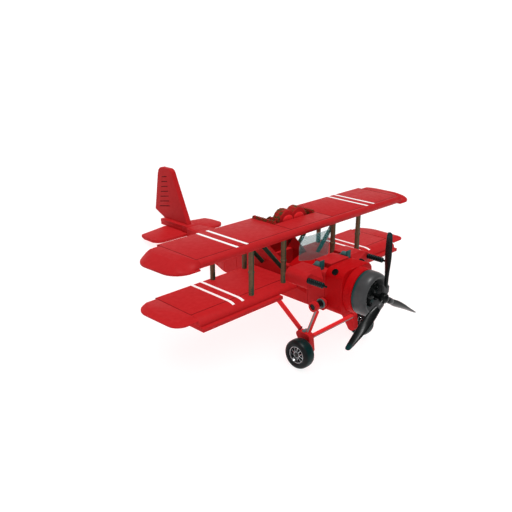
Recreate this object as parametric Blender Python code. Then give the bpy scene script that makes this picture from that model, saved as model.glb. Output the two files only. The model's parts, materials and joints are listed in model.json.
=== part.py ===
"""A brick-built toy biplane, modelled piece by piece, standing on its wheels and tail.

Everything is laid out in the level attitude, in studs (the 8 mm pitch that such toy bricks share):
x is the span, y runs from nose (minus) to tail (plus) with zero at the upper wing's front seam,
and z is the height above the ground under the wheels.  A root empty then tips the whole toy back
onto its tail, as it parks, and puts the middle of its box at the origin on the floor.
"""
import math

import bmesh
import bpy
from mathutils import Matrix, Vector

STUD = 0.008
GAP = 0.0003 / STUD
SIDES = (("right", -1), ("left", 1))

# Upper wing
UPPER_TOP = 16.6
WING_THICK = 1.0
UPPER_CHORD = 7.0
LEDGE_REAR = 7.85
LEDGE_TOP = 16.0
FLAT_HALF_SPAN = 19.1
NOTCH_HALF = 4.0
NOTCH_DEPTH = 4.05
EDGE_RADIUS = 0.5
EDGE_FLAT = 0.2
TIP_REACH = 3.6
TIP_LOW = 15.5

# Lower wing
LOWER_TOP = 9.7
LOWER_FRONT = -0.3
LOWER_SEAM = 1.3
LOWER_REAR = 7.95
LOWER_TIP_REACH = 3.3
LOWER_TIP_LOW = 9.35
ROOT_X = 3.0
UNDER_INNER = 6.2
UNDER_FRONT = -0.8
UNDER_REAR = 5.2
UNDER_THICK = 0.45

# Struts between the wings
STRUT_X = (10.46, 4.87)
STRUT_Y = (0.47, 7.45)
STRUT_RADIUS = 0.34
STRUT_COLLAR = 0.4

# Braces from the fuselage sides to the upper wing
BRACE_Y = (2.05, 5.7)
BRACE_FOOT = (3.28, 10.75)
BRACE_BEND = (7.3, 15.05)
BRACE_END = 8.6
BRACE_RADIUS = 0.28

# Wheels and gear
WHEEL_X = 6.3
WHEEL_Y = -3.8
WHEEL_Z = 1.9
TYRE_RADIUS = 1.9
TYRE_WIDTH = 1.75
RIM_RADIUS = 1.125
AXLE_RADIUS = 0.3
BAR_RADIUS = 0.3
HUB_INNER = 4.1
HUB_OUTER = 5.0
AXLE_LOBE = 0.62
FOOT_LOBE = 0.5
FOOT_Z = 4.05
FRONT_FOOT_Y = -3.7
REAR_FOOT_Y = -2.45
BAR_Y = -3.95
BOSS_Y = -4.6
BOSS_Z = 8.0
BOSS_RADIUS = 0.62
BOSS_REACH = 2.1

# Nose
THRUST_Z = 9.7
COWL_RADIUS = 2.78
RING_REAR = -8.45
RING_FRONT = -10.3
RING_BORE = 1.8
ROUND_REAR = -7.3
BLOCK_REAR = -4.65
BLOCK_HALF = 3.0
BLOCK_TOP = 12.6
BLOCK_BOTTOM = 6.75
PROP_Y = -11.3
PROP_RADIUS = 8.2
BLADE_COUNT = 3
BLADE_AHEAD = -0.1

# Fuselage
BODY_HALF = 3.0
BELLY = 6.9
BODY_TOP = 12.0
TUB_TOP = 11.3
TUB_FRONT = -2.0
TUB_REAR = 9.0
DECK_HALF = 1.8
DECK_TOP = 12.7
CROWN = 12.3
CROWN_REAR = 1.2
COCKPIT_FRONT = 1.6
COCKPIT_REAR = 5.4
COCKPIT_FLOOR = 8.5
WALL = 0.55
TAIL_FRONT = 24.1
TAIL_HALF = 1.0

# Headrest
HUMP_FRONT = 3.3
HUMP_REAR = 4.7
HUMP_LOW = 15.0
LOBE_X = 1.1
LOBE_Z = 16.4
LOBE_RADIUS = 1.4

# Gun boxes on the front body's sides
GUN_FRONT = -4.5
GUN_REAR = -1.15
GUN_HALF = 6.3
GUN_TOP = 12.45
GUN_LOW = 10.65
GUN_CROWN = 0.85
GUN_KEEL = 0.4
BARREL_X = 6.0
BARREL_Z = 11.75
BARREL_LENGTH = 2.3
BARREL_RIBS = 6
BARREL_THICK = 0.36
BARREL_THIN = 0.29
MUZZLE_RADIUS = 0.14
MUZZLE_LENGTH = 0.5

# Tail
STAB_TOP = 9.9
STAB_THICK = 0.45
STAB_FRONT = 24.2
STAB_REAR = 29.85
STAB_CORNER = (6.45, 28.75)
STAB_REACH = 6.8
FIN_HALF = 0.45
FIN_FOOT = 10.9
BLOCK_END = 31.0

RED = (0.52, 0.012, 0.016, 1.0)
BROWN = (0.13, 0.075, 0.035, 1.0)
GREEN = (0.012, 0.05, 0.03, 1.0)
BLACK = (0.012, 0.014, 0.015, 1.0)
GREY = (0.16, 0.20, 0.20, 1.0)
CHROME = (0.55, 0.57, 0.58, 1.0)
GLASS = (0.25, 0.38, 0.38, 1.0)


def clear_scene():
    """Remove whatever the file holds, so that the model starts alone."""
    for old in list(bpy.data.objects):
        bpy.data.objects.remove(old, do_unlink=True)


def material(name, colour, rough=0.3, metal=0.0, alpha=1.0):
    """One Principled material, made once for each name."""
    found = bpy.data.materials.get(name)
    if found:
        return found
    made = bpy.data.materials.new(name)
    made.use_nodes = True
    shader = made.node_tree.nodes["Principled BSDF"]
    shader.inputs["Base Color"].default_value = colour
    shader.inputs["Roughness"].default_value = rough
    shader.inputs["Metallic"].default_value = metal
    shader.inputs["Alpha"].default_value = alpha
    return made


def red_plastic():
    """The glossy red of most of the bricks."""
    return material("red_plastic", RED, 0.3)


def brown_plastic():
    """The brown of the struts and the cockpit trim."""
    return material("brown_plastic", BROWN, 0.45)


def black_plastic():
    """The black of the propeller, guns and engine ring."""
    return material("black_plastic", BLACK, 0.25)


def grey_plastic():
    """The grey of the pins and levers."""
    return material("grey_plastic", GREY, 0.35)


class Airframe:
    """Holds the root empty that every piece is parented to."""

    root = None


def start_airframe():
    """Make the root empty that carries the level layout."""
    root = bpy.data.objects.new("airframe", None)
    bpy.context.scene.collection.objects.link(root)
    Airframe.root = root


def level_empty(name, at):
    """An empty at a point of the level layout, in studs."""
    empty = bpy.data.objects.new(name, None)
    bpy.context.scene.collection.objects.link(empty)
    empty.location = Vector(at) * STUD
    empty.parent = Airframe.root
    return empty


def add_piece(name, bm, at, look, parent=None, smooth_angle=None):
    """Turn a bmesh in studs, drawn round the point at, into a named object at that point."""
    bmesh.ops.recalc_face_normals(bm, faces=bm.faces)
    for vert in bm.verts:
        vert.co = vert.co * STUD
    mesh = bpy.data.meshes.new(name)
    bm.to_mesh(mesh)
    bm.free()
    mesh.materials.append(look)
    if smooth_angle is not None:
        mesh.shade_smooth()
        mesh.set_sharp_from_angle(angle=math.radians(smooth_angle))
    piece = bpy.data.objects.new(name, mesh)
    bpy.context.scene.collection.objects.link(piece)
    piece.location = Vector(at) * STUD
    piece.parent = parent or Airframe.root
    return piece


def bm_box(size, centre=(0.0, 0.0, 0.0)):
    """A box of the given size in studs, centred on a point."""
    bm = bmesh.new()
    bmesh.ops.create_cube(bm, size=1.0)
    bmesh.ops.scale(bm, vec=Vector(size), verts=bm.verts)
    bmesh.ops.translate(bm, vec=Vector(centre), verts=bm.verts)
    return bm


def box_piece(name, low, high, look, bevel=0.0):
    """A straight block between two corners, with its edges softened."""
    centre = [(a + b) / 2 for a, b in zip(low, high)]
    size = [b - a for a, b in zip(low, high)]
    piece = add_piece(name, bm_box(size), centre, look)
    if bevel:
        soften(piece, bevel)
    return piece


def soften(piece, width, segments=1, angle=40.0):
    """Round the sharp edges of a piece by a width in studs."""
    mod = piece.modifiers.new("soft_edges", "BEVEL")
    mod.width = width * STUD
    mod.segments = segments
    mod.limit_method = "ANGLE"
    mod.angle_limit = math.radians(angle)
    return mod


def bm_loft(rings):
    """Skin equal rings of points, first to last, and cap both ends."""
    bm = bmesh.new()
    rows = [[bm.verts.new(Vector(point)) for point in ring] for ring in rings]
    count = len(rows[0])
    for row, after in zip(rows, rows[1:]):
        for i in range(count):
            j = (i + 1) % count
            bm.faces.new((row[i], row[j], after[j], after[i]))
    bm.faces.new(rows[0])
    bm.faces.new(list(reversed(rows[-1])))
    return bm


def bm_prism(outline, axis, low, high):
    """Push a flat outline of two coordinates along one axis, from low to high."""
    def point(pair, level):
        placed = list(pair)
        placed.insert("xyz".index(axis), level)
        return placed
    return bm_loft([[point(pair, level) for pair in outline] for level in (low, high)])


def arc(centre, radius, start, stop, steps):
    """Points of an arc in degrees, both ends included."""
    points = []
    for i in range(steps + 1):
        angle = math.radians(start + (stop - start) * i / steps)
        points.append((centre[0] + radius * math.cos(angle), centre[1] + radius * math.sin(angle)))
    return points


def bm_turned(profile, segments, hollow=False):
    """Turn a profile of (radius, along) pairs about the y axis.

    A hollow profile is a closed loop off the axis; any other starts and ends on the axis.
    """
    bm = bmesh.new()
    inner = profile if hollow else profile[1:-1]
    rows = []
    for k in range(segments):
        turn = 2 * math.pi * k / segments
        rows.append([bm.verts.new((r * math.sin(turn), y, r * math.cos(turn))) for r, y in inner])
    ends = None
    if not hollow:
        ends = (bm.verts.new((0, profile[0][1], 0)), bm.verts.new((0, profile[-1][1], 0)))
    for k in range(segments):
        row = rows[k]
        after = rows[(k + 1) % segments]
        for i in range(len(inner) - 1):
            bm.faces.new((row[i], row[i + 1], after[i + 1], after[i]))
        if hollow:
            bm.faces.new((row[-1], row[0], after[0], after[-1]))
        else:
            bm.faces.new((ends[0], row[0], after[0]))
            bm.faces.new((row[-1], ends[1], after[-1]))
    return bm


def aim(bm, direction):
    """Turn a bmesh whose length runs along y so that it runs along a direction."""
    turn = Vector((0, 1, 0)).rotation_difference(Vector(direction).normalized())
    bmesh.ops.rotate(bm, cent=(0, 0, 0), matrix=turn.to_matrix(), verts=bm.verts)
    return bm


def rod_piece(name, start, stop, radius, look, sides=12, collar=None, parent=None):
    """A round rod from one point to another, with a collar at its middle if one is given."""
    start = Vector(start)
    stop = Vector(stop)
    length = (stop - start).length
    half = length / 2
    profile = [(0.0, -half), (radius, -half)]
    if collar:
        for y in (-0.18, 0.18):
            inner, outer = ((y - 0.05, y) if y < 0 else (y + 0.05, y))
            pair = [(radius, inner), (collar, outer)]
            profile += pair if y < 0 else list(reversed(pair))
    profile += [(radius, half), (0.0, half)]
    bm = aim(bm_turned(profile, sides), stop - start)
    return add_piece(name, bm, (start + stop) / 2, look, parent, 35)


def bm_tube(points, radius, sides):
    """A round tube along a line of points, its rings square to the run."""
    points = [Vector(point) for point in points]
    rings = []
    for i, point in enumerate(points):
        before = points[max(i - 1, 0)]
        after = points[min(i + 1, len(points) - 1)]
        run = (after - before).normalized()
        side = run.cross(Vector((0, 1, 0))).normalized()
        up = side.cross(run).normalized()
        ring = []
        for k in range(sides):
            turn = 2 * math.pi * k / sides
            ring.append(point + radius * (math.cos(turn) * side + math.sin(turn) * up))
        rings.append(ring)
    return bm_loft(rings)


def smooth_line(points, per_leg):
    """Points of a smooth curve through the given ones, by the Catmull-Rom rule."""
    points = [Vector(point) for point in points]
    guard = [points[0] * 2 - points[1]] + points + [points[-1] * 2 - points[-2]]
    line = []
    for i in range(len(points) - 1):
        a, b, c, d = guard[i:i + 4]
        for k in range(per_leg):
            t = k / per_leg
            line.append(0.5 * (2 * b + (c - a) * t + (2 * a - 5 * b + 4 * c - d) * t * t
                               + (3 * b - a - 3 * c + d) * t ** 3))
    line.append(points[-1])
    return line


def joined(piece, others):
    """Union other objects into a piece with exact Booleans, and drop the others."""
    bpy.context.view_layer.update()
    for i, other in enumerate(others):
        mod = piece.modifiers.new("join_%d" % i, "BOOLEAN")
        mod.operation = "UNION"
        mod.solver = "EXACT"
        mod.object = other
    bake(piece)
    for other in others:
        bpy.data.objects.remove(other, do_unlink=True)
    return piece


def cut(piece, cutters):
    """Cut cutters out of a piece with exact Booleans, and drop the cutters."""
    bpy.context.view_layer.update()
    for i, cutter in enumerate(cutters):
        mod = piece.modifiers.new("cut_%d" % i, "BOOLEAN")
        mod.operation = "DIFFERENCE"
        mod.solver = "EXACT"
        mod.object = cutter
    bake(piece)
    for cutter in cutters:
        bpy.data.objects.remove(cutter, do_unlink=True)
    return piece


def bake(piece):
    """Replace a piece's mesh by what its modifiers make of it."""
    bpy.context.view_layer.update()
    view = piece.evaluated_get(bpy.context.evaluated_depsgraph_get())
    mesh = bpy.data.meshes.new_from_object(view)
    mesh.name = piece.name
    piece.modifiers.clear()
    piece.data = mesh


# Wings

def tip_outline(reach, front, rear, corner_front, corner_rear, steps=6):
    """Plan of a rounded wing tip, from its front root corner round to its rear root corner."""
    tucked = reach - 0.15
    points = [(0.0, front)]
    points += arc((tucked - corner_front, front + corner_front), corner_front, -90, 0, steps)
    points += arc((reach - corner_rear, rear - corner_rear), corner_rear, 0, 90, steps)
    points.append((0.0, rear))
    return points


def bm_tip(outline, low, rim, top, slope, sign):
    """A wing tip with a thin rim: its plan drawn in by steps, each step as high as the slope is there."""
    front = outline[0][1]
    rear = outline[-1][1]
    reach = max(x for x, y in outline)
    depth = (top - rim) / slope
    steps = 4
    rings = [[(sign * x, y, low) for x, y in outline]]
    for step in range(steps + 1):
        share = step / steps
        inset = depth * share
        rise = rim + (top - rim) * share ** 0.85
        ring = []
        for x, y in outline:
            pulled = min(max(y, front + inset), rear - 0.3 * inset)
            ring.append((sign * x * (reach - 0.8 * inset) / reach, pulled, rise))
        rings.append(ring)
    return bm_loft(rings)


def upper_wing():
    """Two stepped panels, the centre piece before the notch, the front edge and both tips."""
    low = UPPER_TOP - WING_THICK
    look = red_plastic()
    side_view = [(GAP, low), (LEDGE_REAR, low), (LEDGE_REAR, LEDGE_TOP), (UPPER_CHORD, LEDGE_TOP),
                 (UPPER_CHORD, UPPER_TOP), (GAP, UPPER_TOP)]
    plan = tip_outline(TIP_REACH, -EDGE_FLAT - EDGE_RADIUS, UPPER_CHORD, 2.2, 2.6)
    for side, sign in SIDES:
        inner = NOTCH_HALF + GAP / 2
        ends = sorted((sign * inner, sign * FLAT_HALF_SPAN))
        add_piece("upper_wing_" + side, bm_prism(side_view, "x", ends[0], ends[1]), (0, 0, 0), look)
        tip = bm_tip(plan, TIP_LOW, TIP_LOW + 0.2, UPPER_TOP, 0.4, sign)
        add_piece("upper_tip_" + side, tip, (sign * (FLAT_HALF_SPAN + GAP), 0, 0), look, None, 50)
    centre_low = (-NOTCH_HALF + GAP / 2, GAP, low)
    centre_high = (NOTCH_HALF - GAP / 2, UPPER_CHORD - NOTCH_DEPTH, UPPER_TOP)
    box_piece("upper_wing_centre", centre_low, centre_high, look, 0.04)
    front_edge("upper_front_edge", -FLAT_HALF_SPAN, FLAT_HALF_SPAN, 0.0, low + EDGE_RADIUS, EDGE_RADIUS)


def front_edge(name, x0, x1, seam, middle, radius):
    """A rounded front edge, a half circle ahead of a narrow flat, along the span."""
    ahead = seam - EDGE_FLAT
    outline = [(seam, middle - radius)]
    outline += [(seam, middle + radius)]
    outline += arc((ahead, middle), radius, 90, 270, 10)
    add_piece(name, bm_prism(outline, "x", x0, x1), (0, 0, 0), red_plastic(), None, 40)


def lower_wing():
    """On each side a panel with its rounded front edge, a tip and the plate under it."""
    low = LOWER_TOP - WING_THICK
    look = red_plastic()
    inner = ROOT_X + GAP
    drop = WING_THICK - 0.05
    outline = [(LOWER_FRONT, low), (LOWER_REAR, low), (LOWER_REAR, LOWER_TOP)]
    outline += [(LOWER_SEAM + (LOWER_SEAM - LOWER_FRONT) * y, LOWER_TOP - drop + drop * z)
                for y, z in arc((0.0, 0.0), 1.0, 90, 180, 8)]
    plan = tip_outline(LOWER_TIP_REACH, LOWER_FRONT + 0.15, LOWER_REAR, 1.5, 2.6)
    for side, sign in SIDES:
        ends = sorted((sign * inner, sign * FLAT_HALF_SPAN))
        add_piece("lower_wing_" + side, bm_prism(outline, "x", ends[0], ends[1]), (0, 0, 0), look, None, 40)
        tip = bm_tip(plan, LOWER_TIP_LOW, LOWER_TIP_LOW + 0.12, LOWER_TOP, 0.2, sign)
        add_piece("lower_tip_" + side, tip, (sign * (FLAT_HALF_SPAN + GAP), 0, 0), look, None, 50)
        plate_ends = sorted((sign * UNDER_INNER, sign * FLAT_HALF_SPAN))
        top = low - GAP
        box_piece("under_plate_" + side, (plate_ends[0], UNDER_FRONT, top - UNDER_THICK),
                  (plate_ends[1], UNDER_REAR, top), look, 0.04)


def wing_struts():
    """The eight ribbed rods that hold the upper wing over the lower one."""
    foot = LOWER_TOP + GAP
    head = UPPER_TOP - WING_THICK - GAP
    for side, sign in SIDES:
        for place, x in zip(("outer", "inner"), STRUT_X):
            for row, y in zip(("front", "rear"), STRUT_Y):
                rod_piece("strut_%s_%s_%s" % (side, place, row), (sign * x, y, foot), (sign * x, y, head),
                          STRUT_RADIUS, brown_plastic(), 12, STRUT_COLLAR)


def braces():
    """Two rods on each side that lean out from the fuselage and bend level under the upper wing."""
    look = material("green_plastic", GREEN, 0.3)
    level = UPPER_TOP - WING_THICK - BRACE_RADIUS - GAP
    foot_x, foot_z = BRACE_FOOT
    bend_x, bend_z = BRACE_BEND
    for side, sign in SIDES:
        for row, y in zip(("front", "rear"), BRACE_Y):
            route = [(sign * foot_x, y, foot_z),
                     (sign * (foot_x + bend_x) / 2, y, (foot_z + bend_z) / 2),
                     (sign * bend_x, y, bend_z),
                     (sign * (bend_x + 0.5), y, level),
                     (sign * BRACE_END, y, level)]
            add_piece("brace_%s_%s" % (side, row), bm_tube(smooth_line(route, 3), BRACE_RADIUS, 10),
                      (0, 0, 0), look, None, 40)


# Nose

def nose():
    """Engine ring, the dome and shaft in it, and the cowl that turns from round to square."""
    look = red_plastic()
    ring = [(COWL_RADIUS - 0.1, RING_REAR)]
    ring += [(COWL_RADIUS, RING_REAR - 0.1)]
    bend = (COWL_RADIUS - RING_BORE) / 2
    middle = (COWL_RADIUS + RING_BORE) / 2
    depth = RING_REAR - RING_FRONT
    for i in range(9):
        angle = math.pi * i / 8
        lip = RING_REAR - depth * (0.45 + 0.55 * math.sin(angle))
        ring.append((middle + bend * math.cos(angle), lip))
    ring.append((RING_BORE, RING_REAR))
    add_piece("engine_ring", bm_turned(ring, 40, True), (0, 0, THRUST_Z), black_plastic(), None, 40)

    dome = [(0.0, RING_REAR - 0.05), (RING_BORE - GAP, RING_REAR - 0.05)]
    for i in range(6):
        angle = math.radians(90 * i / 6)
        dome.append(((RING_BORE - 0.12) * math.cos(angle), RING_REAR - 0.5 - 1.15 * math.sin(angle)))
    dome += [(0.3, RING_REAR - 1.65), (0.3, PROP_Y + 0.45 + GAP), (0.0, PROP_Y + 0.45 + GAP)]
    add_piece("engine_dome", bm_turned(dome, 28), (0, 0, THRUST_Z), black_plastic(), None, 40)

    barrel = [(0.0, RING_REAR + GAP), (COWL_RADIUS - 0.05, RING_REAR + GAP),
              (COWL_RADIUS + 0.08, RING_REAR + 0.5), (COWL_RADIUS + 0.12, ROUND_REAR + 0.1),
              (0.0, ROUND_REAR + 0.1)]
    cowl = add_piece("cowl", bm_prism(block_outline(), "y", ROUND_REAR, BLOCK_REAR - GAP), (0, 0, 0),
                     look, None, 30)
    others = [add_piece("barrel", bm_turned(barrel, 40), (0, 0, THRUST_Z), look)]
    for side, sign in SIDES:
        lean = Vector((sign, 0, 1)).normalized()
        bm = aim(bm_turned([(0.0, 0.0), (0.42, 0.0), (0.42, 1.0), (0.0, 1.0)], 14), lean)
        others.append(add_piece("stub_" + side, bm, Vector((sign * 2.1, -5.95, 11.7)), look))
    joined(cowl, others)


def block_outline():
    """Section of the squared cowl: flat sides, top and bottom, joined by round corners."""
    corner = 1.15
    points = []
    for cx, cz, start in ((1, 1, 0), (-1, 1, 90), (-1, -1, 180), (1, -1, 270)):
        height = BLOCK_TOP if cz > 0 else BLOCK_BOTTOM
        centre = (cx * (BLOCK_HALF - corner), height - cz * corner)
        points += arc(centre, corner, start, start + 90, 5)
    return points


def propeller():
    """Hub and three twisted blades, turning on an empty at the shaft."""
    hub = level_empty("propeller_axis", (0, PROP_Y, THRUST_Z))
    profile = [(0.0, -0.55), (0.3, -0.5), (0.55, -0.3), (0.6, 0.0), (0.6, 0.45), (0.0, 0.45)]
    body = add_piece("propeller", bm_turned(profile, 24), (0, 0, 0), black_plastic(), hub, 50)
    blades = []
    for k in range(BLADE_COUNT):
        bm = bm_blade()
        turn = Matrix.Rotation(2 * math.pi * k / BLADE_COUNT, 3, "Y")
        bmesh.ops.rotate(bm, cent=(0, 0, 0), matrix=turn, verts=bm.verts)
        blades.append(add_piece("blade_%d" % k, bm, (0, 0, 0), black_plastic(), hub, 50))
    joined(body, blades)


def bm_blade():
    """One blade along z: oval sections, slender at the root, twisted until they lie along the shaft."""
    # Each station: distance from the shaft, half width, half thickness, pitch in degrees
    stations = ((0.3, 0.28, 0.28, 60), (1.0, 0.32, 0.3, 64), (1.9, 0.36, 0.3, 67), (2.8, 0.44, 0.25, 69),
                (4.2, 0.52, 0.2, 72), (5.8, 0.53, 0.17, 76), (7.0, 0.46, 0.15, 83), (7.8, 0.38, 0.12, 88),
                (8.1, 0.28, 0.09, 88), (PROP_RADIUS, 0.12, 0.05, 88))
    around = 10
    rings = []
    for far, width, thick, degrees in stations:
        pitch = math.radians(degrees)
        ring = []
        for k in range(around):
            turn = 2 * math.pi * k / around
            across = width * math.cos(turn)
            deep = thick * math.sin(turn)
            ring.append((across * math.cos(pitch) - deep * math.sin(pitch),
                         BLADE_AHEAD + across * math.sin(pitch) + deep * math.cos(pitch), far))
        rings.append(ring)
    return bm_loft(rings)


# Fuselage

def section(half, low, high, round_top):
    """A fuselage section: square below, its top corners rounded."""
    points = [(-half, low), (half, low)]
    points += arc((half - round_top, high - round_top), round_top, 0, 90, 4)
    points += arc((-half + round_top, high - round_top), round_top, 90, 180, 4)
    return points


def fuselage():
    """Front body, open cockpit tub, tapered rear body and the deck before the windscreen."""
    look = red_plastic()
    front = add_piece("body_front", bm_prism(section(BODY_HALF, BELLY, BODY_TOP, 0.3), "y",
                                             BLOCK_REAR, TUB_FRONT - GAP), (0, 0, 0), look, None, 30)
    soften(front, 0.04)
    tub_shape = bm_prism(section(BODY_HALF, BELLY, TUB_TOP, 0.2), "y", TUB_FRONT, TUB_REAR)
    tub = add_piece("cockpit_tub", tub_shape, (0, 0, 0), look, None, 30)
    length = COCKPIT_REAR - COCKPIT_FRONT
    height = 2 * (TUB_TOP - COCKPIT_FLOOR)
    hollow = add_piece("tub_cutter", bm_box((2 * (BODY_HALF - WALL), length, height),
                                            (0, COCKPIT_FRONT + length / 2, COCKPIT_FLOOR + height / 2)),
                       (0, 0, 0), look)
    cut(tub, [hollow])
    # Each station: distance aft, half width, belly height, top height, corner radius
    stations = ((TUB_REAR + GAP, 3.0, BELLY, 11.3, 0.5), (13.6, 3.0, 7.0, 11.2, 0.5),
                (17.0, 2.4, 7.6, 11.1, 0.5), (TAIL_FRONT - GAP, 1.25, 8.95, 10.9, 0.4))
    rings = []
    for y, half, low, high, rounding in stations:
        rings.append([(x, y, z) for x, z in section(half, low, high, rounding)])
    add_piece("body_rear", bm_loft(rings), (0, 0, 0), look, None, 25)
    box_piece("deck_plate", (-DECK_HALF, BLOCK_REAR + 0.1, BODY_TOP + GAP),
              (DECK_HALF, TUB_FRONT - GAP, DECK_TOP), look, 0.04)
    deck_shape = bm_prism(crown_outline(), "y", TUB_FRONT, CROWN_REAR)
    add_piece("front_deck", deck_shape, (0, 0, 0), look, None, 30)


def crown_outline():
    """Section of the rounded deck under the windscreen: a flat foot, short sides and a low arc."""
    foot = TUB_TOP + GAP
    shoulder = foot + 0.1
    rise = CROWN - shoulder
    radius = (BODY_HALF ** 2 + rise ** 2) / (2 * rise)
    swing = math.degrees(math.asin(BODY_HALF / radius))
    points = [(-BODY_HALF, foot), (BODY_HALF, foot)]
    return points + arc((0.0, CROWN - radius), radius, 90 - swing, 90 + swing, 10)


def windscreen():
    """The clear screen: a middle pane and two slanted side panes with clipped upper corners."""
    sheet = material("clear_plastic", GLASS, 0.08, 0.0, 0.45)
    thick = 0.12
    outer = [(-3.0, -0.45), (-1.57, -1.4), (1.57, -1.4), (3.0, -0.45)]
    inner = [(3.0 - thick, -0.45 + thick), (1.57 - 0.4 * thick, -1.4 + thick),
             (0.4 * thick - 1.57, -1.4 + thick), (thick - 3.0, -0.45 + thick)]
    line = outer + inner
    # Each level: share of the side panes' width kept, height at the outer edges, height at the middle pane
    levels = ((1.0, CROWN + GAP, CROWN + GAP), (1.0, 14.2, 14.2), (0.8, 15.5, 15.65))
    rings = []
    for kept, edge, middle in levels:
        ring = []
        for i, (x, y) in enumerate(line):
            if i % 4 in (0, 3):
                near = line[i + 1] if i % 4 == 0 else line[i - 1]
                ring.append((near[0] + kept * (x - near[0]), near[1] + kept * (y - near[1]), edge))
            else:
                ring.append((x, y, middle))
        rings.append(ring)
    add_piece("windscreen", bm_loft(rings), (0, 0, 0), sheet)


def cockpit():
    """The seat, and the headrest that rises behind it through the notch in the upper wing."""
    box_piece("seat", (-1.2, 3.9, COCKPIT_FLOOR + GAP), (1.2, 5.3, 9.2), brown_plastic(), 0.1)
    foot = TUB_TOP + GAP
    side_view = [(8.9, foot), (8.7, 12.6), (7.0, 13.6), (5.2, 14.9), (4.5, HUMP_LOW + 0.6),
                 (HUMP_FRONT + 0.3, HUMP_LOW + 0.6), (HUMP_FRONT + 0.3, HUMP_LOW - 0.2), (4.6, 13.9),
                 (5.6, 12.6), (5.75, foot)]
    rest = add_piece("headrest", bm_prism(side_view, "x", -1.7, 1.7), (0, 0, 0), red_plastic(), None, 40)
    lobes = [(-LOBE_X, HUMP_LOW), (LOBE_X, HUMP_LOW)]
    meet = math.degrees(math.acos(LOBE_X / LOBE_RADIUS))
    lobes += arc((LOBE_X, LOBE_Z), LOBE_RADIUS, -60, 180 - meet, 12)
    lobes += arc((-LOBE_X, LOBE_Z), LOBE_RADIUS, meet, 240, 12)[1:]
    hump_shape = bm_prism(lobes, "y", HUMP_FRONT, HUMP_REAR)
    hump = add_piece("hump", hump_shape, (0, 0, 0), red_plastic(), None, 40)
    joined(rest, [hump])


# Guns

def guns():
    """On each side a rounded box on the front body's side, and the ribbed barrel before it."""
    inner = BODY_HALF + GAP
    outline = [(inner, GUN_LOW)]
    outline += arc((GUN_HALF - GUN_KEEL, GUN_LOW + GUN_KEEL), GUN_KEEL, -90, 0, 3)
    outline += arc((GUN_HALF - GUN_CROWN, GUN_TOP - GUN_CROWN), GUN_CROWN, 0, 90, 5)
    outline += [(inner, GUN_TOP)]
    for side, sign in SIDES:
        box = bm_prism([(sign * x, z) for x, z in outline], "y", GUN_FRONT, GUN_REAR)
        add_piece("gun_box_" + side, box, (0, 0, 0), red_plastic(), None, 30)
        root = (sign * BARREL_X, GUN_FRONT - GAP, BARREL_Z)
        add_piece("gun_" + side, bm_turned(barrel_profile(), 14), root, black_plastic(), None, 30)


def barrel_profile():
    """Profile of a gun barrel from its root forwards: even ribs, then a thin muzzle."""
    pitch = BARREL_LENGTH / BARREL_RIBS
    step = 0.01
    profile = [(0.0, 0.0), (BARREL_THICK, 0.0)]
    for i in range(BARREL_RIBS):
        rib_end = -pitch * (i + 0.55)
        next_rib = -pitch * (i + 1)
        profile += [(BARREL_THICK, rib_end), (BARREL_THIN, rib_end - step), (BARREL_THIN, next_rib + step)]
        if i < BARREL_RIBS - 1:
            profile.append((BARREL_THICK, next_rib))
    muzzle = -BARREL_LENGTH - MUZZLE_LENGTH
    profile += [(MUZZLE_RADIUS, -BARREL_LENGTH - 2 * step), (MUZZLE_RADIUS, muzzle), (0.0, muzzle)]
    return profile


# Gear

def hub_outline():
    """Side outline of the hub block: one lobe round the axle, one under each strut's foot."""
    outline = arc((WHEEL_Y, WHEEL_Z), AXLE_LOBE, 190, 340, 8)
    outline += arc((REAR_FOOT_Y, FOOT_Z - FOOT_LOBE), FOOT_LOBE, -20, 100, 6)
    outline += arc((FRONT_FOOT_Y, FOOT_Z - FOOT_LOBE), FOOT_LOBE, 80, 190, 6)
    return outline


def gear():
    """V struts, the cross bar, the hub blocks and the wheels on their axles."""
    look = red_plastic()
    boss_low = BOSS_Z - BOSS_RADIUS - GAP
    for side, sign in SIDES:
        ends = sorted((sign * HUB_INNER, sign * HUB_OUTER))
        hub = bm_prism(hub_outline(), "x", ends[0], ends[1])
        add_piece("gear_hub_" + side, hub, (0, 0, 0), look, None, 30)
        length = WHEEL_X - HUB_OUTER + 0.6
        pin = bm_turned([(0.0, 0.0), (AXLE_RADIUS, 0.0), (AXLE_RADIUS, length), (0.0, length)], 16)
        add_piece("axle_" + side, aim(pin, (sign, 0, 0)), (sign * (HUB_OUTER + GAP), WHEEL_Y, WHEEL_Z),
                  grey_plastic(), None, 40)
        wheel(side, sign)
        rod_piece("gear_front_" + side, (sign * 4.6, FRONT_FOOT_Y, FOOT_Z + 2 * GAP + 0.06),
                  (sign * 4.2, BOSS_Y, boss_low - GAP - 0.06), BAR_RADIUS, look, 10)
        under = LOWER_TOP - WING_THICK - UNDER_THICK - 2 * GAP
        rod_piece("gear_rear_" + side, (sign * 4.7, REAR_FOOT_Y, FOOT_Z + 0.17),
                  (sign * 6.4, -0.2, under - 0.17), BAR_RADIUS, look, 10)
        knob = bm_turned([(0.0, 0.0), (BOSS_RADIUS, 0.0), (BOSS_RADIUS, BOSS_REACH), (0.0, BOSS_REACH)], 20)
        add_piece("gear_boss_" + side, aim(knob, (sign, 0, 0)), (sign * (BODY_HALF + GAP), BOSS_Y, BOSS_Z),
                  look, None, 40)
    rod_piece("spreader_bar", (-HUB_INNER + GAP, BAR_Y, FOOT_Z - FOOT_LOBE),
              (HUB_INNER - GAP, BAR_Y, FOOT_Z - FOOT_LOBE), BAR_RADIUS, look, 10)


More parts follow.
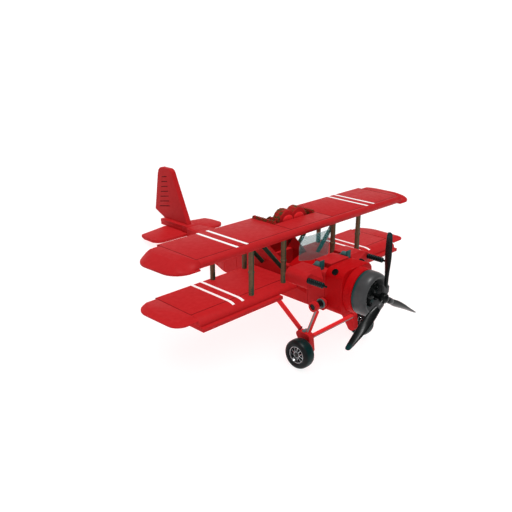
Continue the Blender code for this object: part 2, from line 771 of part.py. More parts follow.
def wheel(side, sign):
    """A rubber tyre on a bright rim, turning about the axle."""
    axis = level_empty("wheel_axis_" + side, (sign * WHEEL_X, WHEEL_Y, WHEEL_Z))
    half = TYRE_WIDTH / 2
    bore = RIM_RADIUS + GAP
    crown = TYRE_RADIUS
    profile = [(bore, -half * 0.8), (bore, half * 0.8), (1.35, half), (1.65, half * 0.92),
               (1.83, half * 0.6), (crown, half * 0.2), (crown, -half * 0.2), (1.83, -half * 0.6),
               (1.65, -half * 0.92), (1.35, -half)]
    add_piece("tyre_" + side, aim(bm_turned(profile, 36, True), (1, 0, 0)), (0, 0, 0),
              material("rubber", BLACK, 0.6), axis, 50)
    hole = AXLE_RADIUS + GAP
    face = half * 0.72
    rim = [(hole, -face), (hole, face), (0.5, face), (0.62, 0.25), (0.95, 0.25), (1.0, face),
           (RIM_RADIUS, face), (RIM_RADIUS, -face), (1.0, -face), (0.95, -0.25), (0.62, -0.25), (0.5, -face)]
    add_piece("rim_" + side, aim(bm_turned(rim, 28, True), (1, 0, 0)), (0, 0, 0),
              material("bright_metal", CHROME, 0.2, 1.0), axis, 50)


# Tail

def tail():
    """Block at the tail's end, the two stabilisers and the fin."""
    look = red_plastic()
    low = STAB_TOP - STAB_THICK
    side_view = [(TAIL_FRONT, low), (STAB_REAR, low), (STAB_REAR, STAB_TOP), (BLOCK_END, STAB_TOP),
                 (BLOCK_END, FIN_FOOT), (TAIL_FRONT, FIN_FOOT)]
    add_piece("tail_block", bm_prism(side_view, "x", -TAIL_HALF, TAIL_HALF), (0, 0, 0), look)
    for side, sign in SIDES:
        outline = [(0.0, STAB_FRONT)]
        outline += arc((STAB_REACH - TAIL_HALF - 1.4, STAB_FRONT + 1.4), 1.4, -90, 0, 5)
        outline += [(STAB_REACH - TAIL_HALF - 0.05, STAB_CORNER[1] - 1.2)]
        outline += arc((STAB_CORNER[0] - TAIL_HALF - 0.3, STAB_CORNER[1] - 0.25), 0.3, 0, 75, 3)
        outline += [(0.25, STAB_REAR), (0.0, STAB_REAR)]
        points = [(sign * x, y) for x, y in outline]
        bm = bm_prism(points, "z", low, STAB_TOP)
        add_piece("stabiliser_" + side, bm, (sign * (TAIL_HALF + GAP), 0, 0), look, None, 40)
    fin = [(24.8, FIN_FOOT + GAP), (30.7, FIN_FOOT + GAP), (33.1, 12.0), (31.95, 18.2)]
    fin += arc((30.9, 18.25), 0.95, 10, 80, 4)
    fin += arc((29.2, 18.2), 1.0, 95, 165, 4)
    add_piece("fin", bm_prism(fin, "x", -FIN_HALF, FIN_HALF), (0, 0, 0), look, None, 40)


# Parking attitude

def parking_pitch():
    """Angle between the level layout and the floor, wheels and stabilisers both touching."""
    along = STAB_REAR - WHEEL_Y
    rise = STAB_TOP - STAB_THICK - WHEEL_Z
    return math.atan2(rise, along) + math.asin(TYRE_RADIUS / math.hypot(along, rise))


def park():
    """Tip the toy onto its tail and set the middle of its box over the origin."""
    root = Airframe.root
    root.rotation_euler = (-parking_pitch(), 0, 0)
    bpy.context.view_layer.update()
    graph = bpy.context.evaluated_depsgraph_get()
    corners = []
    for piece in bpy.context.scene.objects:
        if piece.type == "MESH":
            view = piece.evaluated_get(graph)
            corners += [piece.matrix_world @ vert.co for vert in view.data.vertices]
    low = [min(point[i] for point in corners) for i in range(3)]
    high = [max(point[i] for point in corners) for i in range(3)]
    root.location = (-(low[0] + high[0]) / 2, -(low[1] + high[1]) / 2, -low[2])


def main():
    """Build every group, then park the toy."""
    clear_scene()
    start_airframe()
    upper_wing()
    lower_wing()
    wing_struts()
    braces()
    nose()
    propeller()
    fuselage()
    windscreen()
    cockpit()
    guns()
    gear()
    tail()
    park()


main()
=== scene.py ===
"""The looks of a brick-built toy biplane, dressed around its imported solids.

Every piece is laid out in the level attitude, in studs of 8 mm: x is the span, y runs from the
nose (minus) to the tail (plus) with zero at the upper wing's front seam, and z is the height above
the ground.  The attitude read from the frame's joints then tips each mesh to its parked place.
"""

import json
import logging
import math
from dataclasses import dataclass, field
from enum import Enum

import bmesh
import bpy
import numpy as np
from mathutils import Matrix


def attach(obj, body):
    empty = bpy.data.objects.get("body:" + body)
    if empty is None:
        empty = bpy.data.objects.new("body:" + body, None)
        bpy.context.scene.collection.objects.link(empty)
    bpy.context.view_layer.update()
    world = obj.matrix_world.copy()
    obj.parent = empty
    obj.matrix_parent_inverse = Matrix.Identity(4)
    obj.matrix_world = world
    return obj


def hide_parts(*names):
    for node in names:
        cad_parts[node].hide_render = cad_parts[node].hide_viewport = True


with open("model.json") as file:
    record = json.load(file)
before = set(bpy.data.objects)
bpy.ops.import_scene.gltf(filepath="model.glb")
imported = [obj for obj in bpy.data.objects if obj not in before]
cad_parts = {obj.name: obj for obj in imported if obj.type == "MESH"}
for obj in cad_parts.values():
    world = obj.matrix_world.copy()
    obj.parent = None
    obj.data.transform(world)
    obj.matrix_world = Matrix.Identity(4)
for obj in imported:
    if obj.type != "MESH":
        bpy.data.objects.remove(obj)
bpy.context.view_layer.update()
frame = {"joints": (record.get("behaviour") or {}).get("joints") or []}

STUD = 0.008
SEAM = 0.03
LOG = logging.getLogger("biplane")

Array = np.ndarray
Colour = tuple[float, float, float]
Pair = tuple[float, float]


class Side(Enum):
    """The two sides of the toy, as the pilot would name them, with the sign of x there."""

    RIGHT = -1
    LEFT = 1

    @property
    def word(self) -> str:
        """The side's name as the frame's nodes spell it."""
        return self.name.lower()


class Axis(Enum):
    """The axis that a slab is pushed along; its outline holds the other two coordinates in order."""

    X = 0
    Y = 1
    Z = 2


class Body(Enum):
    """The frame's bodies that a piece can ride on."""

    AIRFRAME = "airframe"
    PROPELLER = "propeller"
    WHEEL_RIGHT = "wheel_right"
    WHEEL_LEFT = "wheel_left"


# Finishes

@dataclass(frozen=True)
class Finish:
    """A moulded plastic: its colour, a second tone that clouds it, and its gloss."""

    name: str
    slot: str | None
    colour: Colour
    tone: Colour
    roughness: float = 0.28
    clouds: float = 220.0
    share: float = 0.35
    grain: float = 2600.0
    bump: float = 0.02
    metallic: float = 0.0
    coat: float = 0.0
    specular: float = 0.3
    alpha: float = 1.0
    # The colour of painted light and shade, such as teal shade, sheens and highlight lines, mixed in point by point
    painted_light: Colour | None = None
    # Light the surface gives off itself: painted light on the white stripes, an even brightness on the floor
    glow: float = 0.0

    def material(self) -> bpy.types.Material:
        """Build the node material once and return it.

        Returns:
            The material: clouds of the second tone over the first, uneven gloss and a fine grain.
        """
        found = bpy.data.materials.get(self.name)
        if found:
            return found
        made = bpy.data.materials.new(self.name)
        made.use_nodes = True
        nodes = made.node_tree.nodes
        link = made.node_tree.links.new
        shader = nodes["Principled BSDF"]
        shader.inputs["Metallic"].default_value = self.metallic
        shader.inputs["Coat Weight"].default_value = self.coat
        shader.inputs["Coat Roughness"].default_value = 0.12
        shader.inputs["Specular IOR Level"].default_value = self.specular
        shader.inputs["Alpha"].default_value = self.alpha
        shader.inputs["Emission Color"].default_value = (*self.colour, 1.0)
        shader.inputs["Emission Strength"].default_value = self.glow
        place = nodes.new("ShaderNodeTexCoord")
        cloud = nodes.new("ShaderNodeTexNoise")
        cloud.inputs["Scale"].default_value = self.clouds
        cloud.inputs["Detail"].default_value = 3.0
        link(place.outputs["Object"], cloud.inputs["Vector"])
        ramp = nodes.new("ShaderNodeValToRGB")
        ramp.color_ramp.elements[0].position = 0.5 - self.share / 2
        ramp.color_ramp.elements[0].color = (*self.colour, 1.0)
        ramp.color_ramp.elements[1].position = 0.5 + self.share / 2
        ramp.color_ramp.elements[1].color = (*self.tone, 1.0)
        link(cloud.outputs["Fac"], ramp.inputs["Fac"])
        # Painted light and shade are mixed over the colour by each point's share
        if self.painted_light is None:
            link(ramp.outputs["Color"], shader.inputs["Base Color"])
        else:
            share = nodes.new("ShaderNodeAttribute")
            share.attribute_name = "tint"
            mix = nodes.new("ShaderNodeMix")
            mix.data_type = "RGBA"
            mix.inputs["B"].default_value = (*self.painted_light, 1.0)
            link(share.outputs["Fac"], mix.inputs["Factor"])
            link(ramp.outputs["Color"], mix.inputs["A"])
            link(mix.outputs["Result"], shader.inputs["Base Color"])
        gloss = nodes.new("ShaderNodeMapRange")
        gloss.inputs["To Min"].default_value = self.roughness * 0.8
        gloss.inputs["To Max"].default_value = self.roughness * 1.25
        link(cloud.outputs["Fac"], gloss.inputs["Value"])
        link(gloss.outputs["Result"], shader.inputs["Roughness"])
        grain = nodes.new("ShaderNodeTexNoise")
        grain.inputs["Scale"].default_value = self.grain
        link(place.outputs["Object"], grain.inputs["Vector"])
        bump = nodes.new("ShaderNodeBump")
        bump.inputs["Strength"].default_value = self.bump
        bump.inputs["Distance"].default_value = 0.0002
        link(grain.outputs["Fac"], bump.inputs["Height"])
        link(bump.outputs["Normal"], shader.inputs["Normal"])
        return made


RED = Finish("brick_red", "red", (0.53, 0.016, 0.019), (0.50, 0.014, 0.017), roughness=0.5, specular=0.08)
RED_MOTTLED = Finish("mottled_red", "red", (0.46, 0.012, 0.014), (0.090, 0.050, 0.014), roughness=0.5,
                     clouds=330.0, share=0.2, bump=0.6, grain=900.0, specular=0.1)
# The stripes glow a little: painted light that keeps them bright white
WHITE = Finish("stripe_white", None, (0.92, 0.92, 0.92), (0.88, 0.88, 0.88), roughness=0.5, specular=0.1, glow=0.15)
# Brown hose; its dark green is painted rim shade down the flanks and at one foot
HOSE = Finish("ribbed_hose", "brown", (0.175, 0.115, 0.062), (0.120, 0.080, 0.044), roughness=0.55,
              clouds=500.0, share=0.5, bump=0.2, specular=0.15, painted_light=(0.004, 0.060, 0.036))
# Dark green rod; its brown is a painted highlight along the top of each brace
GREEN = Finish("green_rod", "dark_green", (0.004, 0.042, 0.027), (0.008, 0.036, 0.022), roughness=0.45,
               specular=0.15, painted_light=(0.075, 0.062, 0.035))
# Gloss black; its teal is painted shade, in the barrels' rib valleys and on the blade tips
BLACK = Finish("gloss_black", "black", (0.003, 0.004, 0.004), (0.006, 0.007, 0.007), roughness=0.25,
               specular=0.16, painted_light=(0.002, 0.030, 0.032))
# Black ring plastic; its teal is painted shade on the ring's rear rim
DARK = Finish("ring_black", "black", (0.062, 0.062, 0.064), (0.054, 0.054, 0.056), roughness=0.35,
              specular=0.25, painted_light=(0.001, 0.050, 0.050))
# Light grey parts with teal shade painted into the colour itself, and more painted teal shade by share
GREY_IN_TEAL_SHADE = Finish("tap_grey", "grey", (0.13, 0.20, 0.20), (0.10, 0.17, 0.17), roughness=0.4,
              painted_light=(0.003, 0.10, 0.10))
PIN = Finish("pin_dark", "grey", (0.014, 0.016, 0.016), (0.020, 0.022, 0.022), roughness=0.35, specular=0.2)
# Smoky clear sheet; its pale colour is a painted highlight along the rims
CLEAR = Finish("smoky_clear", "clear", (0.02, 0.26, 0.26), (0.03, 0.29, 0.29), roughness=0.1, alpha=0.38,
               bump=0.0, specular=0.3, painted_light=(0.45, 0.62, 0.62))
# Black rubber; its teal is a painted sheen on the crown
RUBBER = Finish("tyre_rubber", "tyre", (0.008, 0.009, 0.010), (0.012, 0.013, 0.014), roughness=0.36,
                bump=0.06, grain=1800.0, specular=0.12, painted_light=(0.001, 0.018, 0.018))
CHROME = Finish("rim_chrome", "rim_silver", (0.42, 0.43, 0.44), (0.16, 0.17, 0.18), roughness=0.2, clouds=900.0,
                metallic=1.0)
# A deeper, darker copy of the brick red: painted shade on the cowl, the screen deck and the side patches
SHADED_RED = Finish("deep_red", "red", (0.50, 0.003, 0.005), (0.47, 0.002, 0.004), roughness=0.5, specular=0.06)
# A lighter copy of the brick red for the gear rods: painted light, with a painted pale highlight line
LIT_ROD_RED = Finish("rod_red", "red", (0.74, 0.026, 0.029), (0.70, 0.022, 0.025), roughness=0.45, specular=0.1,
             painted_light=(0.22, 0.30, 0.30))
# A lighter copy of the brick red for the hump's front pads: painted light
LIT_HUMP_RED = Finish("hump_red", "red", (0.78, 0.022, 0.026), (0.72, 0.018, 0.022), roughness=0.5, specular=0.08)
SLOT_SHADE = Finish("slot_shade", "red", (0.09, 0.003, 0.004), (0.07, 0.002, 0.003), roughness=0.7, specular=0.1)

SEAM_SHADE = Finish("seam_shade", "red", (0.13, 0.005, 0.006), (0.10, 0.004, 0.005), roughness=0.7, specular=0.05)


# Surfaces

@dataclass
class Shell:
    """Points and faces of one closed surface, or of several, in level studs."""

    points: Array
    faces: list[list[int]]

    def moved(self, shift: tuple[float, float, float]) -> "Shell":
        """The same surface carried by a shift."""
        return Shell(self.points + np.array(shift), self.faces)

    def mirrored(self, side: Side) -> "Shell":
        """The surface as drawn on the left, or its mirror image in x on the right."""
        if side is Side.LEFT:
            return self
        return Shell(self.points * np.array([-1.0, 1.0, 1.0]), [face[::-1] for face in self.faces])

    def turned(self, matrix: Array) -> "Shell":
        """The surface turned about the origin by a 3 by 3 matrix."""
        return Shell(self.points @ matrix.T, self.faces)


def merged(shells: list[Shell]) -> Shell:
    """Put several surfaces into one, each face list shifted by the points before it.

    Args:
        shells: The surfaces, in order.

    Returns:
        One surface that holds them all.
    """
    starts = np.cumsum([0] + [len(shell.points) for shell in shells[:-1]])
    faces = [[i + int(start) for i in face] for start, shell in zip(starts, shells) for face in shell.faces]
    return Shell(np.concatenate([shell.points for shell in shells]), faces)


def skin(rings: Array, ring_closed: bool = False) -> Shell:
    """Join point i of each ring to point i of the next with quads.

    Args:
        rings: An array of rings by points by three coordinates.
        ring_closed: True joins the last ring to the first; otherwise both ends get a flat cap.

    Returns:
        The closed surface.
    """
    count, around, _ = rings.shape
    index = np.arange(count * around).reshape(count, around)
    here = index if ring_closed else index[:-1]
    after = np.roll(index, -1, axis=0) if ring_closed else index[1:]
    quads = np.stack([here, np.roll(here, -1, 1), np.roll(after, -1, 1), after], -1).reshape(-1, 4).tolist()
    if not ring_closed:
        quads += [index[0, ::-1].tolist(), index[-1].tolist()]
    return Shell(rings.reshape(-1, 3), quads)


def arc(centre: Pair, radius: float, start: float, stop: float, steps: int = 8) -> Array:
    """Points at even angles, in degrees, on a circle: centre plus radius times cosine and sine."""
    angle = np.radians(np.linspace(start, stop, steps + 1))
    return np.stack([centre[0] + radius * np.cos(angle), centre[1] + radius * np.sin(angle)], -1)


def rounded(corners: list[tuple[float, float, float]], steps: int = 4) -> Array:
    """Round the corners of a flat outline.

    Each corner's arc touches both of its edges: it starts radius / tan(half angle) before the
    corner, its centre lies radius / sin(half angle) along the bisector, and its points are that
    centre plus the start arm turned evenly towards the stop arm.

    Args:
        corners: First coordinate, second coordinate and radius of each corner.
        steps: Spans of each arc.

    Returns:
        The outline's points.
    """
    table = np.array(corners, float)
    spot = table[:, :2]
    back = np.roll(spot, 1, 0) - spot
    ahead = np.roll(spot, -1, 0) - spot
    back /= np.linalg.norm(back, axis=1, keepdims=True)
    ahead /= np.linalg.norm(ahead, axis=1, keepdims=True)
    half = np.arccos(np.clip((back * ahead).sum(1), -1, 1)) / 2
    radius = np.maximum(table[:, 2], 1e-4)
    middle = back + ahead
    middle /= np.maximum(np.linalg.norm(middle, axis=1, keepdims=True), 1e-9)
    centre = spot + middle * (radius / np.sin(half))[:, None]
    reach = (radius / np.tan(half))[:, None]
    first = spot + back * reach - centre
    last = spot + ahead * reach - centre
    sweep = math.pi - 2 * half
    share = np.linspace(0, 1, steps + 1)[None, :, None]
    swing = sweep[:, None, None]
    blend = (np.sin((1 - share) * swing) * first[:, None] + np.sin(share * swing) * last[:, None])
    return (centre[:, None] + blend / np.sin(swing)).reshape(-1, 2)


def inset(outline: Array, depth: Array) -> Array:
    """Draw an outline in by each depth, along the mean normal of the edges beside each point.

    The shift is (n1 + n2) / (1 + n1 . n2), which keeps each edge parallel to itself.

    Args:
        outline: Points by two coordinates.
        depth: One depth for each wanted ring.

    Returns:
        Rings by points by two coordinates.
    """
    ahead = np.roll(outline, -1, 0) - outline
    length = np.maximum(np.linalg.norm(ahead, axis=1, keepdims=True), 1e-9)
    ahead /= length
    area = np.sum(outline[:, 0] * np.roll(outline[:, 1], -1) - outline[:, 1] * np.roll(outline[:, 0], -1))
    normal = np.stack([-ahead[:, 1], ahead[:, 0]], -1) * (1 if area > 0 else -1)
    before = np.roll(normal, 1, 0)
    shift = (normal + before) / np.maximum(1 + (normal * before).sum(1, keepdims=True), 0.3)
    return outline[None] + np.asarray(depth)[:, None, None] * shift[None]


def slab(outline: Array, axis: Axis, low: float, high: float, edge: float = 0.05, steps: int = 3) -> Shell:
    """Push an outline along an axis, with both rims rounded.

    Round each rim the outline is drawn in by edge * (1 - sin t) while the level moves by
    edge * (1 - cos t), with t from 0 to a quarter turn.

    Args:
        outline: Points by the two other coordinates, in order.
        axis: The axis to push along.
        low: Where it starts.
        high: Where it stops.
        edge: The rims' radius.
        steps: Rings in each rim.

    Returns:
        The closed slab.
    """
    angle = np.linspace(0, math.pi / 2, steps + 1)
    depth = edge * (1 - np.sin(angle))
    rise = edge * (1 - np.cos(angle))
    depths = np.concatenate([depth, depth[::-1]])
    levels = np.concatenate([low + rise, high - rise[::-1]])
    flat = inset(np.asarray(outline, float), depths)
    level = np.broadcast_to(levels[:, None, None], (*flat.shape[:2], 1))
    return skin(np.insert(flat, [axis.value], level, axis=2))


def block(low: tuple[float, float, float], high: tuple[float, float, float], edge: float = 0.05,
          corner: float = 0.05) -> Shell:
    """A brick between two corners, seen from above a rectangle with small round corners.

    Args:
        low: Lowest corner.
        high: Highest corner.
        edge: Radius of the upper and lower rims.
        corner: Radius of the upright edges.

    Returns:
        The closed brick.
    """
    plan = rounded([(low[0], low[1], corner), (high[0], low[1], corner), (high[0], high[1], corner),
                    (low[0], high[1], corner)], 3)
    return slab(plan, Axis.Z, low[2], high[2], edge)


def lathe(profile: Array, sides: int = 48, axis: Axis = Axis.Y) -> Shell:
    """Turn a closed profile of (radius, along) pairs about an axis.

    A point at radius r and angle t lies at r sin t and r cos t across the axis. A profile that
    starts and ends on the axis closes itself there; its radius is kept above a hair's width.

    Args:
        profile: Pairs of radius and place along the axis.
        sides: Spans round the axis.
        axis: The axis itself.

    Returns:
        The closed surface.
    """
    profile = np.asarray(profile, float)
    turn = 2 * math.pi * np.arange(sides) / sides
    open_ends = profile[0, 0] < 1e-6 and profile[-1, 0] < 1e-6
    body = profile[1:-1] if open_ends else profile
    radius = body[:, 0][:, None]
    along = np.broadcast_to(body[:, 1][:, None], (len(body), sides))
    rings = np.stack([radius * np.sin(turn), along, radius * np.cos(turn)], -1)
    if axis is Axis.X:
        rings = rings[..., [1, 0, 2]]
    elif axis is Axis.Z:
        rings = rings[..., [0, 2, 1]]
    return skin(rings, ring_closed=not open_ends)


def tube(path: Array, radius: Array, sides: int = 16) -> Shell:
    """Carry a circle along a path, square to the run and never twisted.

    Each ring is the path's point plus radius times (cosine of a side vector plus sine of an up
    vector), the side being the run crossed with one fixed direction.

    Args:
        path: Points by three coordinates.
        radius: One radius, or one for each point.
        sides: Spans round the tube.

    Returns:
        The closed tube.
    """
    path = np.asarray(path, float)
    run = np.gradient(path, axis=0)
    run /= np.linalg.norm(run, axis=1, keepdims=True)
    chord = path[-1] - path[0]
    guide = np.eye(3)[np.argmin(np.abs(chord))]
    side = np.cross(run, guide)
    side /= np.linalg.norm(side, axis=1, keepdims=True)
    up = np.cross(side, run)
    turn = 2 * math.pi * np.arange(sides) / sides
    width = np.broadcast_to(np.asarray(radius, float), (len(path),))[:, None, None]
    ring = np.cos(turn)[None, :, None] * side[:, None] + np.sin(turn)[None, :, None] * up[:, None]
    return skin(path[:, None] + width * ring)


def line(start: tuple[float, ...], stop: tuple[float, ...], count: int) -> Array:
    """Evenly spaced points from one place to another."""
    share = np.linspace(0, 1, count)[:, None]
    return np.array(start) * (1 - share) + np.array(stop) * share


def smooth(knots: Array, per_leg: int = 8) -> Array:
    """A smooth curve through the knots by the Catmull-Rom rule, whole legs at a time.

    Args:
        knots: Points that the curve passes through.
        per_leg: Points on each leg between two knots.

    Returns:
        The curve's points.
    """
    knots = np.asarray(knots, float)
    padded = np.concatenate([[2 * knots[0] - knots[1]], knots, [2 * knots[-1] - knots[-2]]])
    a, b, c, d = (padded[i:len(padded) - 3 + i][:, None] for i in range(4))
    t = np.linspace(0, 1, per_leg, endpoint=False)[None, :, None]
    curve = 0.5 * (2 * b + (c - a) * t + (2 * a - 5 * b + 4 * c - d) * t ** 2 + (3 * b - a - 3 * c + d) * t ** 3)
    return np.concatenate([curve.reshape(-1, knots.shape[1]), knots[-1:]])


# Attitude and placing

@dataclass(frozen=True)
class Attitude:
    """The parked attitude, read from the frame's propeller and wheel joints."""

    wheel_y: float = -3.8
    wheel_z: float = 1.9

    def matrix(self) -> Array:
        """Turn that takes level studs to parked metres, apart from the shift."""
        axis = np.array(self.joint("propeller_turn")["axis"], float)
        pitch = math.atan2(axis[2], -axis[1])
        turn = np.array([[1, 0, 0], [0, math.cos(pitch), math.sin(pitch)], [0, -math.sin(pitch), math.cos(pitch)]])
        return turn * STUD

    def shift(self) -> Array:
        """Where the level layout's origin is, in parked metres."""
        wheel = np.array(self.joint("wheel_left_turn")["pos_m"], float)
        return wheel * np.array([0, 1, 1]) - self.matrix() @ np.array([0, self.wheel_y, self.wheel_z])

    @staticmethod
    def joint(name: str) -> dict:
        """The frame's joint of that name."""
        return next(joint for joint in frame["joints"] if joint["name"] == name)

    def apply(self, points: Array) -> Array:
        """Level studs to parked metres."""
        return points @ self.matrix().T + self.shift()


ATTITUDE = Attitude()


def put(name: str, shell: Shell, finish: Finish, body: Body = Body.AIRFRAME, nodes: tuple[str, ...] = (),
        sharp: float = 35.0, tint: Array | None = None) -> bpy.types.Object:
    """Make a piece of the toy from a surface, at its parked place.

    Args:
        name: The piece's name.
        shell: Its surface in level studs.
        finish: Its finish.
        body: The frame's body that it rides on.
        nodes: The frame's nodes that it stands for.
        sharp: Angle in degrees past which an edge stays sharp.
        tint: Share of the finish's painted light and shade at each point, if it has any.

    Returns:
        The object.
    """
    mesh = bpy.data.meshes.new(name)
    mesh.from_pydata(ATTITUDE.apply(shell.points).tolist(), [], shell.faces)
    tidy = bmesh.new()
    tidy.from_mesh(mesh)
    bmesh.ops.recalc_face_normals(tidy, faces=tidy.faces)
    tidy.to_mesh(mesh)
    tidy.free()
    mesh.shade_smooth()
    mesh.set_sharp_from_angle(angle=math.radians(sharp))
    mesh.materials.append(finish.material())
    if finish.painted_light is not None:
        share = mesh.attributes.new("tint", "FLOAT", "POINT")
        share.data.foreach_set("value", np.zeros(len(shell.points)) if tint is None else np.asarray(tint, float))
    piece = bpy.data.objects.new(name, mesh)
    bpy.context.scene.collection.objects.link(piece)
    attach(piece, body.value)
    if nodes:
        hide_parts(*nodes)
    LOG.info("%s: %d faces, %s", name, len(mesh.polygons), finish.name)
    return piece


# Wings

@dataclass
class UpperWing:
    """The upper wing: flat panels, a notched centre, a rounded front edge and sloping tips."""

    top: float = 16.6
    low: float = 15.6
    chord: float = 7.0
    ledge_rear: float = 7.85
    ledge_top: float = 16.0
    half_span: float = 19.1
    notch_half: float = 4.0
    notch_front: float = 2.95
    edge_radius: float = 0.5
    edge_flat: float = 0.2
    tip_reach: float = 3.6
    tip_low: float = 15.5
    stripe_x: tuple[float, ...] = (13.2, 11.65)
    stripe_width: float = 0.4

    def build(self) -> None:
        """Make the wing's pieces."""
        for side in Side:
            self.panel(side)
            self.tip(side)
            self.stripes(side)
        centre = block((-self.notch_half + SEAM / 2, SEAM, self.low), (self.notch_half - SEAM / 2,
                       self.notch_front, self.top), 0.04)
        put("wing_centre", centre, RED, nodes=("upper_wing_centre",))
        self.front_edge()

    def panel(self, side: Side) -> None:
        """The panel on one side: a side view with a hidden step behind, pushed along the span."""
        view = rounded([(SEAM, self.low, 0.04), (self.ledge_rear, self.low, 0.04),
                        (self.ledge_rear, self.ledge_top, 0.04), (self.chord, self.ledge_top, 0.02),
                        (self.chord, self.top, 0.05), (SEAM, self.top, 0.04)], 3)
        shell = slab(view, Axis.X, self.notch_half + SEAM / 2, self.half_span - SEAM / 2, 0.03)
        put("wing_panel_" + side.word, shell.mirrored(side), RED, nodes=("upper_wing_" + side.word,))

    def front_edge(self) -> None:
        """A half-round front edge ahead of a narrow flat, in one piece along the span."""
        middle = self.low + self.edge_radius
        nose = arc((-self.edge_flat, middle), self.edge_radius, 90, 270, 16)
        view = np.concatenate([[(0.0, middle - self.edge_radius), (0.0, middle + self.edge_radius)], nose])
        put("wing_front_edge", slab(view, Axis.X, -self.half_span, self.half_span, 0.03), RED,
            nodes=("upper_front_edge",))
        self.seams()

    def tip(self, side: Side) -> None:
        """The sloping tip with its thin rim."""
        plan = tip_plan(self.tip_reach, -self.edge_flat - self.edge_radius, self.chord, 2.2, 2.6)
        shell = tip_shell(plan, self.tip_low, self.tip_low + 0.2, self.top, 0.4, self.edge_radius)
        put("wing_tip_" + side.word, shell.moved((self.half_span + SEAM, 0, 0)).mirrored(side), RED,
            nodes=("upper_tip_" + side.word,), sharp=30)

    def stripes(self, side: Side) -> None:
        """Two white bands across the panel and over its front edge."""
        bands = [stripe(x, self.stripe_width, self.section()) for x in self.stripe_x]
        put("wing_stripes_" + side.word, merged(bands).mirrored(side), WHITE)

    def section(self) -> Array:
        """The wing's upper surface from its rear edge to where the stripes end at the front."""
        return np.array([(self.chord - 0.05, self.top), (-0.15, self.top)])

    def seams(self) -> None:
        """Dark hairlines along the front edge, beside the tips and round the centre piece."""
        edge = [(self.half_span, self.chord - 0.05), (self.notch_half, self.notch_front)]
        lines = [seam_line((sign * x, 0.0), (sign * x, rear), self.top) for x, rear in edge for sign in (-1, 1)]
        lines.append(seam_line((-self.half_span, 0.0), (self.half_span, 0.0), self.top))
        put("wing_seams", merged(lines), SEAM_SHADE)


def stripe(x: float, width: float, section: Array, proud: float = 0.012) -> Shell:
    """A thin band laid on a surface: the section lifted by a hair and pushed along the span.

    Args:
        x: Middle of the band.
        width: Its width.
        section: Points of the surface below, front to back, as (y, z).
        proud: How far it stands out.

    Returns:
        The closed band.
    """
    lifted = section + np.array([0.0, proud])
    buried = section - np.array([0.0, proud])
    view = np.concatenate([lifted, buried[::-1]])
    low = np.insert(view, 0, x - width / 2, axis=1)
    high = np.insert(view, 0, x + width / 2, axis=1)
    return skin(np.stack([low, high]))


def seam_line(start: Pair, stop: Pair, level: float, width: float = 0.09, proud: float = 0.005) -> Shell:
    """A dark hairline laid over the open seam between two pieces.

    Args:
        start: One end, in plan.
        stop: The other end, in plan.
        level: Height of the surface.
        width: Its width.
        proud: How far it stands out.

    Returns:
        The closed hairline.
    """
    low, high = np.minimum(start, stop) - width / 2, np.maximum(start, stop) + width / 2
    plan = np.array([low, (high[0], low[1]), high, (low[0], high[1])])
    return slab(plan, Axis.Z, level - 0.03, level + proud, 0.002, 1)


def tip_plan(reach: float, front: float, rear: float, corner_front: float, corner_rear: float) -> Array:
    """Plan of a wing tip from its front root corner round to its rear one, its side bulging a little.

    Args:
        reach: How far it stands out.
        front: Its front edge.
        rear: Its rear edge.
        corner_front: Radius of the front corner.
        corner_rear: Radius of the rear corner.

    Returns:
        The plan's points.
    """
    tucked = reach - 0.15
    return np.concatenate([
        line((0.0, front), (tucked - corner_front, front), 8)[:-1], arc((tucked - corner_front, front + corner_front), corner_front, -90, 0, 12),
        arc((reach - corner_rear, rear - corner_rear), corner_rear, 0, 90, 12), [(0.0, rear)]])


def tip_shell(plan: Array, low: float, rim: float, top: float, slope: float, edge: float = 0.0,
              steps: int = 12) -> Shell:
    """A wing tip: at a share s of the slope its plan is drawn in and its height is s to the 0.85.

    Towards the root the front is drawn in only by edge - sqrt(edge^2 - (height - top + edge)^2),
    which is the round front edge of the wing beside it.

    Args:
        plan: The tip's plan.
        low: Underside.
        rim: Top of the thin rim.
        top: Height of the flat.
        slope: Rise over run of the slope.
        edge: Radius of the front edge at the root, or zero for none.
        steps: Rings on the slope.

    Returns:
        The closed tip.
    """
    depth = (top - rim) / slope
    share = np.linspace(0, 1, steps + 1)
    pulled = depth * share[:, None]
    across = plan[None, :, 0] * (plan[:, 0].max() - 0.8 * pulled) / plan[:, 0].max()
    level = (rim + (top - rim) * share ** 0.85)[:, None]
    height = np.broadcast_to(level, across.shape)
    round_edge = edge - np.sqrt(np.maximum(edge ** 2 - (level - top + edge) ** 2, 0.0))
    blend = np.clip(plan[None, :, 0] / 1.6, 0, 1) if edge else 1.0
    along = np.clip(plan[None, :, 1], plan[0, 1] + pulled * blend + round_edge * (1 - blend),
                    plan[-1, 1] - 0.3 * pulled)
    upper = np.stack([across, along, height], -1)
    lower = np.insert(plan, 2, low, axis=1)
    edge = np.insert(plan, 2, rim - 0.05, axis=1)
    return skin(np.concatenate([[lower], [edge], upper]))


